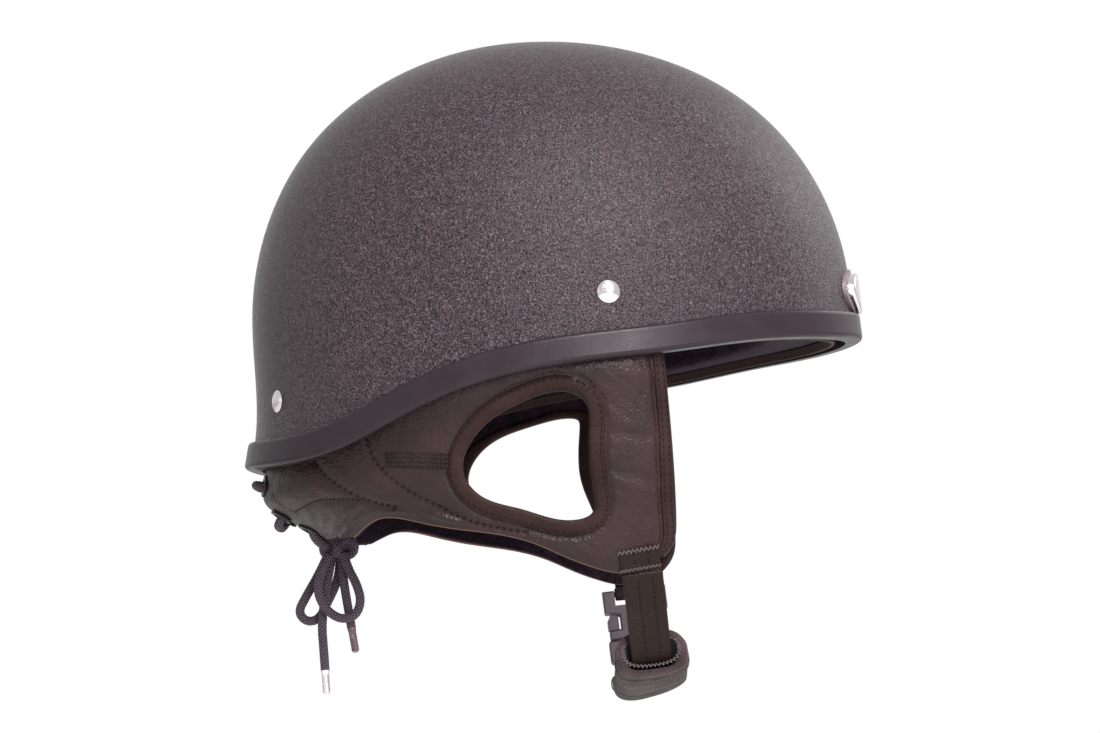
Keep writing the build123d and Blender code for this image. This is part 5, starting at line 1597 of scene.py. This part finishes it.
class CAP_OT_chin_strap(bpy.types.Operator):
    """Strap tab, chin strap with its turn round the bar, padded sleeve, webbing and their stitching"""
    bl_idname = "cap.chin_strap"
    bl_label = "Make the chin strap"

    def execute(self, context):
        tone, size = context.scene.cap_colours, context.scene.cap_sizes
        pale = sewing_thread("pale_overlock_thread", "#504849")
        dark = sewing_thread("dark_strap_thread", "#0e0a0b")
        self.strap(tone)
        self.sleeve(tone, size, pale)
        self.web(tone)
        shown = strap_path(400)[8:118]
        rows = [strap_row(shown, face * 0.92, aside, STRAP_PITCH)
                for aside in STITCH_LINES for face in (1, -1)]
        stitch_rows("strap_stitching", rows, dark, "leather", body="chin_strap", width=0.7)
        self.tab_threads(pale, dark)
        return {"FINISHED"}

    def strap(self, tone):
        """The tab on the right leather, the strap from its fold to the buckle, and its turn round the bar."""
        hide = grain_leather("split_leather_strap", tone.strap, cell=0.8, crease=0.4, gloss=0.1)
        flat = {"wrap": (False, True), "poles": True, "closed": True}
        tab = build("strap_tab_leather", capped(tab_grid(-1, TAB_LOW, STRAP_THICK)), hide, "leather",
                    uv=(10, 40), **flat)
        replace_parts(tab, "strap_tab_right")
        grid = capped(tape_grid(strap_path(420, start=-0.3), STRAP_THICK))
        strap = build("chin_strap_leather", grid, hide, "leather", body="chin_strap", uv=(190, 40), **flat)
        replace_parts(strap, "chin_strap")
        half = STRAP_WIDTH / 2
        line = strap_at(FOLD[0], FOLD[1], np.linspace(-half, half, 24))
        fold = tube("chin_strap_fold", line, STRAP_THICK / 2, hide, "leather", body="chin_strap", around=16)
        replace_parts(fold, "chin_strap")
        wrap = build("chin_strap_turn", tape_grid(bar_loop(MALE_BAR, STRAP_THICK), STRAP_THICK, closed=True),
                     hide, "leather", wrap=(True, True), body="chin_strap", uv=(16, 40))
        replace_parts(wrap, "chin_strap")

    def sleeve(self, tone, size, pale):
        """The pad's skin, filled with air, and three rings of overlock: in its mouth, behind the upper lip
        and at the lower end."""
        grid, held = sleeve_grid()
        rows = len(grid)
        # The near-black lining colour is dark fleece with painted shade of the slot's inside
        suede = lined_suede(tone.pad, "#0c0a0d", ((SLEEVE_RINGS + 4) / rows, (rows - LIP_RINGS - 1) / rows))
        pad = build("chin_pad_sleeve", grid, suede, "leather", wrap=(True, True), body="chin_strap")
        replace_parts(pad, "chin_pad")
        puffed(pad, 0.7 * size.puff / MM, 2.0, held)
        angle = np.linspace(0, 2 * np.pi, 240)
        threads = []
        for halves, past, count in OVERLOCKS:
            side, rise = superellipse(angle, *halves, 0.72)
            mouth = sleeve_mouth(rise)
            centres = even(sleeve_at(mouth + past, side, rise), count)
            inner = even(sleeve_at(mouth + past, side * 0.9, rise * 0.8), count)
            along = unit(even(sleeve_at(mouth + past + 1.0, side, rise), count) - centres)
            outside = unit(centres - inner)
            up, way = (-along, outside) if past < 0 else (outside, along)
            threads.append((centres, zigzag(headings(centres), way, 0.55), up, 2.7))
        stitch_rows("pad_overlock", threads, pale, "leather", body="chin_strap", width=0.55)

    def web(self, tone):
        """The webbing under the left leather, and its turn round the female half's bar."""
        tape = woven_tape("woven_nylon_webbing", tone.strap, pitch=1.0)
        low = FEMALE_BAR[1] + BAR_WRAP
        tab = build("webbing_tab", capped(tab_grid(1, low, WEB_THICK)), tape, "leather", wrap=(False, True),
                    poles=True, uv=(12, 40), closed=True)
        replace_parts(tab, "buckle_webbing")
        turn = build("webbing_turn", tape_grid(bar_loop(FEMALE_BAR, WEB_THICK), WEB_THICK, closed=True), tape,
                     "leather", wrap=(True, True), uv=(15, 40))
        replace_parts(turn, "buckle_webbing")

    def tab_threads(self, pale, dark):
        """Zigzag overlock along the tab's upper end and across the splice, and its two long rows."""
        across = np.linspace(-8.8, 8.8, 60)
        threads = []
        for up_at, reach in ((-0.2, 2.6), (-8.2, 1.9)):
            line = np.stack(on_tab(across, up_at + 0.06 * across), -1)
            centres, ahead, up, _ = collar_row(line, 2.0, 0.9)
            threads.append((centres, zigzag(ahead, np.cross(ahead, up), 0.5), up, reach))
        stitch_rows("tab_overlock", threads, pale, "leather", width=0.6)
        up_tab = np.linspace(-9.0, -1.6, 40)
        threads = [collar_row(np.stack(on_tab(np.full(40, aside), up_tab), -1), 1.95, STRAP_PITCH)
                   for aside in STITCH_LINES]
        stitch_rows("tab_stitching", threads, dark, "leather", width=0.7)


# ---------------------------------------------------------------- studio

# Name, place and width of each round lamp in metres, and its watts
LAMPS = (
    ("front_softbox", (0.85, -2.1, 0.7), 0.8, 64),
    ("overhead_softbox", (0.5, -1.6, 1.65), 0.5, 96),
    ("fill_softbox", (-1.9, -1.3, 0.2), 1.4, 4),
    ("back_softbox", (1.4, 1.2, 1.0), 1.2, 12),
)
LAMP_AIM = (0, 0, -0.02)
FLOOR_LEVEL, FLOOR_SPAN = -300.0, 6000.0
SURROUND_LIGHT = 0.34
CAMERA_TURN, CAMERA_RISE = math.radians(1.5), math.radians(-5.0)
CAMERA_AWAY, CAMERA_LIFT, CAMERA_LENS = 2.0, -0.0122, 142.3


class CAP_OT_studio(bpy.types.Operator):
    """White floor and surround, soft lamps, and a camera at the cap's right side, a little low"""
    bl_idname = "cap.studio"
    bl_label = "Set up the studio"

    def execute(self, context):
        scene = context.scene
        scene.view_settings.view_transform = "Standard"
        self.floor(scene)
        self.surround(scene)
        for lamp in LAMPS:
            self.lamp(scene, *lamp)
        self.camera(scene)
        return {"FINISHED"}

    def floor(self, scene):
        """A square card whose height is the same all over, under the hanging lace."""
        span = np.linspace(-FLOOR_SPAN, FLOOR_SPAN, 3)
        x, y = np.meshgrid(span, span, indexing="ij")
        mesh = bpy.data.meshes.new("floor")
        faces, _ = grid_faces(3, 3, False, False)
        points = np.stack((x, y, np.full_like(x, FLOOR_LEVEL)), -1).reshape(-1, 3) * MM
        mesh.from_pydata(points.tolist(), [], faces.tolist())
        piece = bpy.data.objects.new("floor", mesh)
        scene.collection.objects.link(piece)
        mesh.materials.append(white_card())

    def surround(self, scene):
        """White to the eye and in reflections; a plain pale grey as light."""
        surround = bpy.data.worlds.new("white_surround")
        scene.world = surround
        surround.use_nodes = True
        tree = surround.node_tree
        tree.nodes.clear()
        rays = node(tree, "LightPath").outputs
        mirrored = node(tree, "Math", [rays["Is Glossy Ray"], rays["Is Transmission Ray"]],
                        operation="MAXIMUM")
        seen = node(tree, "Math", [rays["Is Camera Ray"], mirrored], operation="MAXIMUM")
        light = node(tree, "Background", [(0.9, 0.9, 0.9, 1), SURROUND_LIGHT])
        white = node(tree, "Background", [(1, 1, 1, 1), 1.0])
        node(tree, "OutputWorld", [node(tree, "MixShader", [seen, light, white])])

    def lamp(self, scene, name, place_at, size, power):
        """One round lamp that faces the cap."""
        data = bpy.data.lights.new(name, "AREA")
        data.shape, data.size, data.energy = "DISK", size, power
        lamp = bpy.data.objects.new(name, data)
        lamp.location = place_at
        lamp.rotation_mode = "QUATERNION"
        lamp.rotation_quaternion = (Vector(LAMP_AIM) - Vector(place_at)).to_track_quat("-Z", "Y")
        scene.collection.objects.link(lamp)

    def camera(self, scene):
        """A long lens off the wearer's right, turned a little to the brow and a little below the level."""
        level = math.cos(CAMERA_RISE)
        back = Vector((math.sin(CAMERA_TURN) * level, -math.cos(CAMERA_TURN) * level, math.sin(CAMERA_RISE)))
        up = back.cross(Vector((math.cos(CAMERA_TURN), math.sin(CAMERA_TURN), 0)))
        data = bpy.data.cameras.new("camera")
        data.lens, data.sensor_width = CAMERA_LENS, 36.0
        data.clip_start, data.clip_end = 0.05, 50
        camera = bpy.data.objects.new("camera", data)
        camera.location = back * CAMERA_AWAY + up * CAMERA_LIFT
        camera.rotation_mode = "QUATERNION"
        camera.rotation_quaternion = (-back).to_track_quat("-Z", "Y")
        scene.collection.objects.link(camera)
        scene.camera = camera


class CAP_PT_sidebar(bpy.types.Panel):
    """Lists the cap's steps, colours and sizes"""
    bl_idname = "CAP_PT_sidebar"
    bl_label = "Skull Cap"
    bl_space_type = "VIEW_3D"
    bl_region_type = "UI"
    bl_category = "Skull Cap"

    def draw(self, context):
        for operator in STEPS:
            self.layout.operator(operator.bl_idname, text=operator.bl_label)
        for group in (context.scene.cap_colours, context.scene.cap_sizes):
            for name in group.__annotations__:
                self.layout.prop(group, name)


STEPS = (CAP_OT_hard_finishes, CAP_OT_leather_sides, CAP_OT_padding, CAP_OT_lacing, CAP_OT_chin_strap,
         CAP_OT_studio)
GROUPS = (CapColours, CapSizes)


def register():
    for kind in GROUPS + STEPS + (CAP_PT_sidebar,):
        bpy.utils.register_class(kind)
    bpy.types.Scene.cap_colours = bpy.props.PointerProperty(type=CapColours)
    bpy.types.Scene.cap_sizes = bpy.props.PointerProperty(type=CapSizes)


def unregister():
    del bpy.types.Scene.cap_sizes
    del bpy.types.Scene.cap_colours
    for kind in reversed(GROUPS + STEPS + (CAP_PT_sidebar,)):
        bpy.utils.unregister_class(kind)


def main():
    """Makes the whole dressed cap."""
    register()
    bpy.ops.cap.studio()
    bpy.ops.cap.hard_finishes()
    bpy.ops.cap.leather_sides()
    bpy.ops.cap.padding()
    bpy.ops.cap.lacing()
    bpy.ops.cap.chin_strap()


if __name__ == "__main__":
    main()
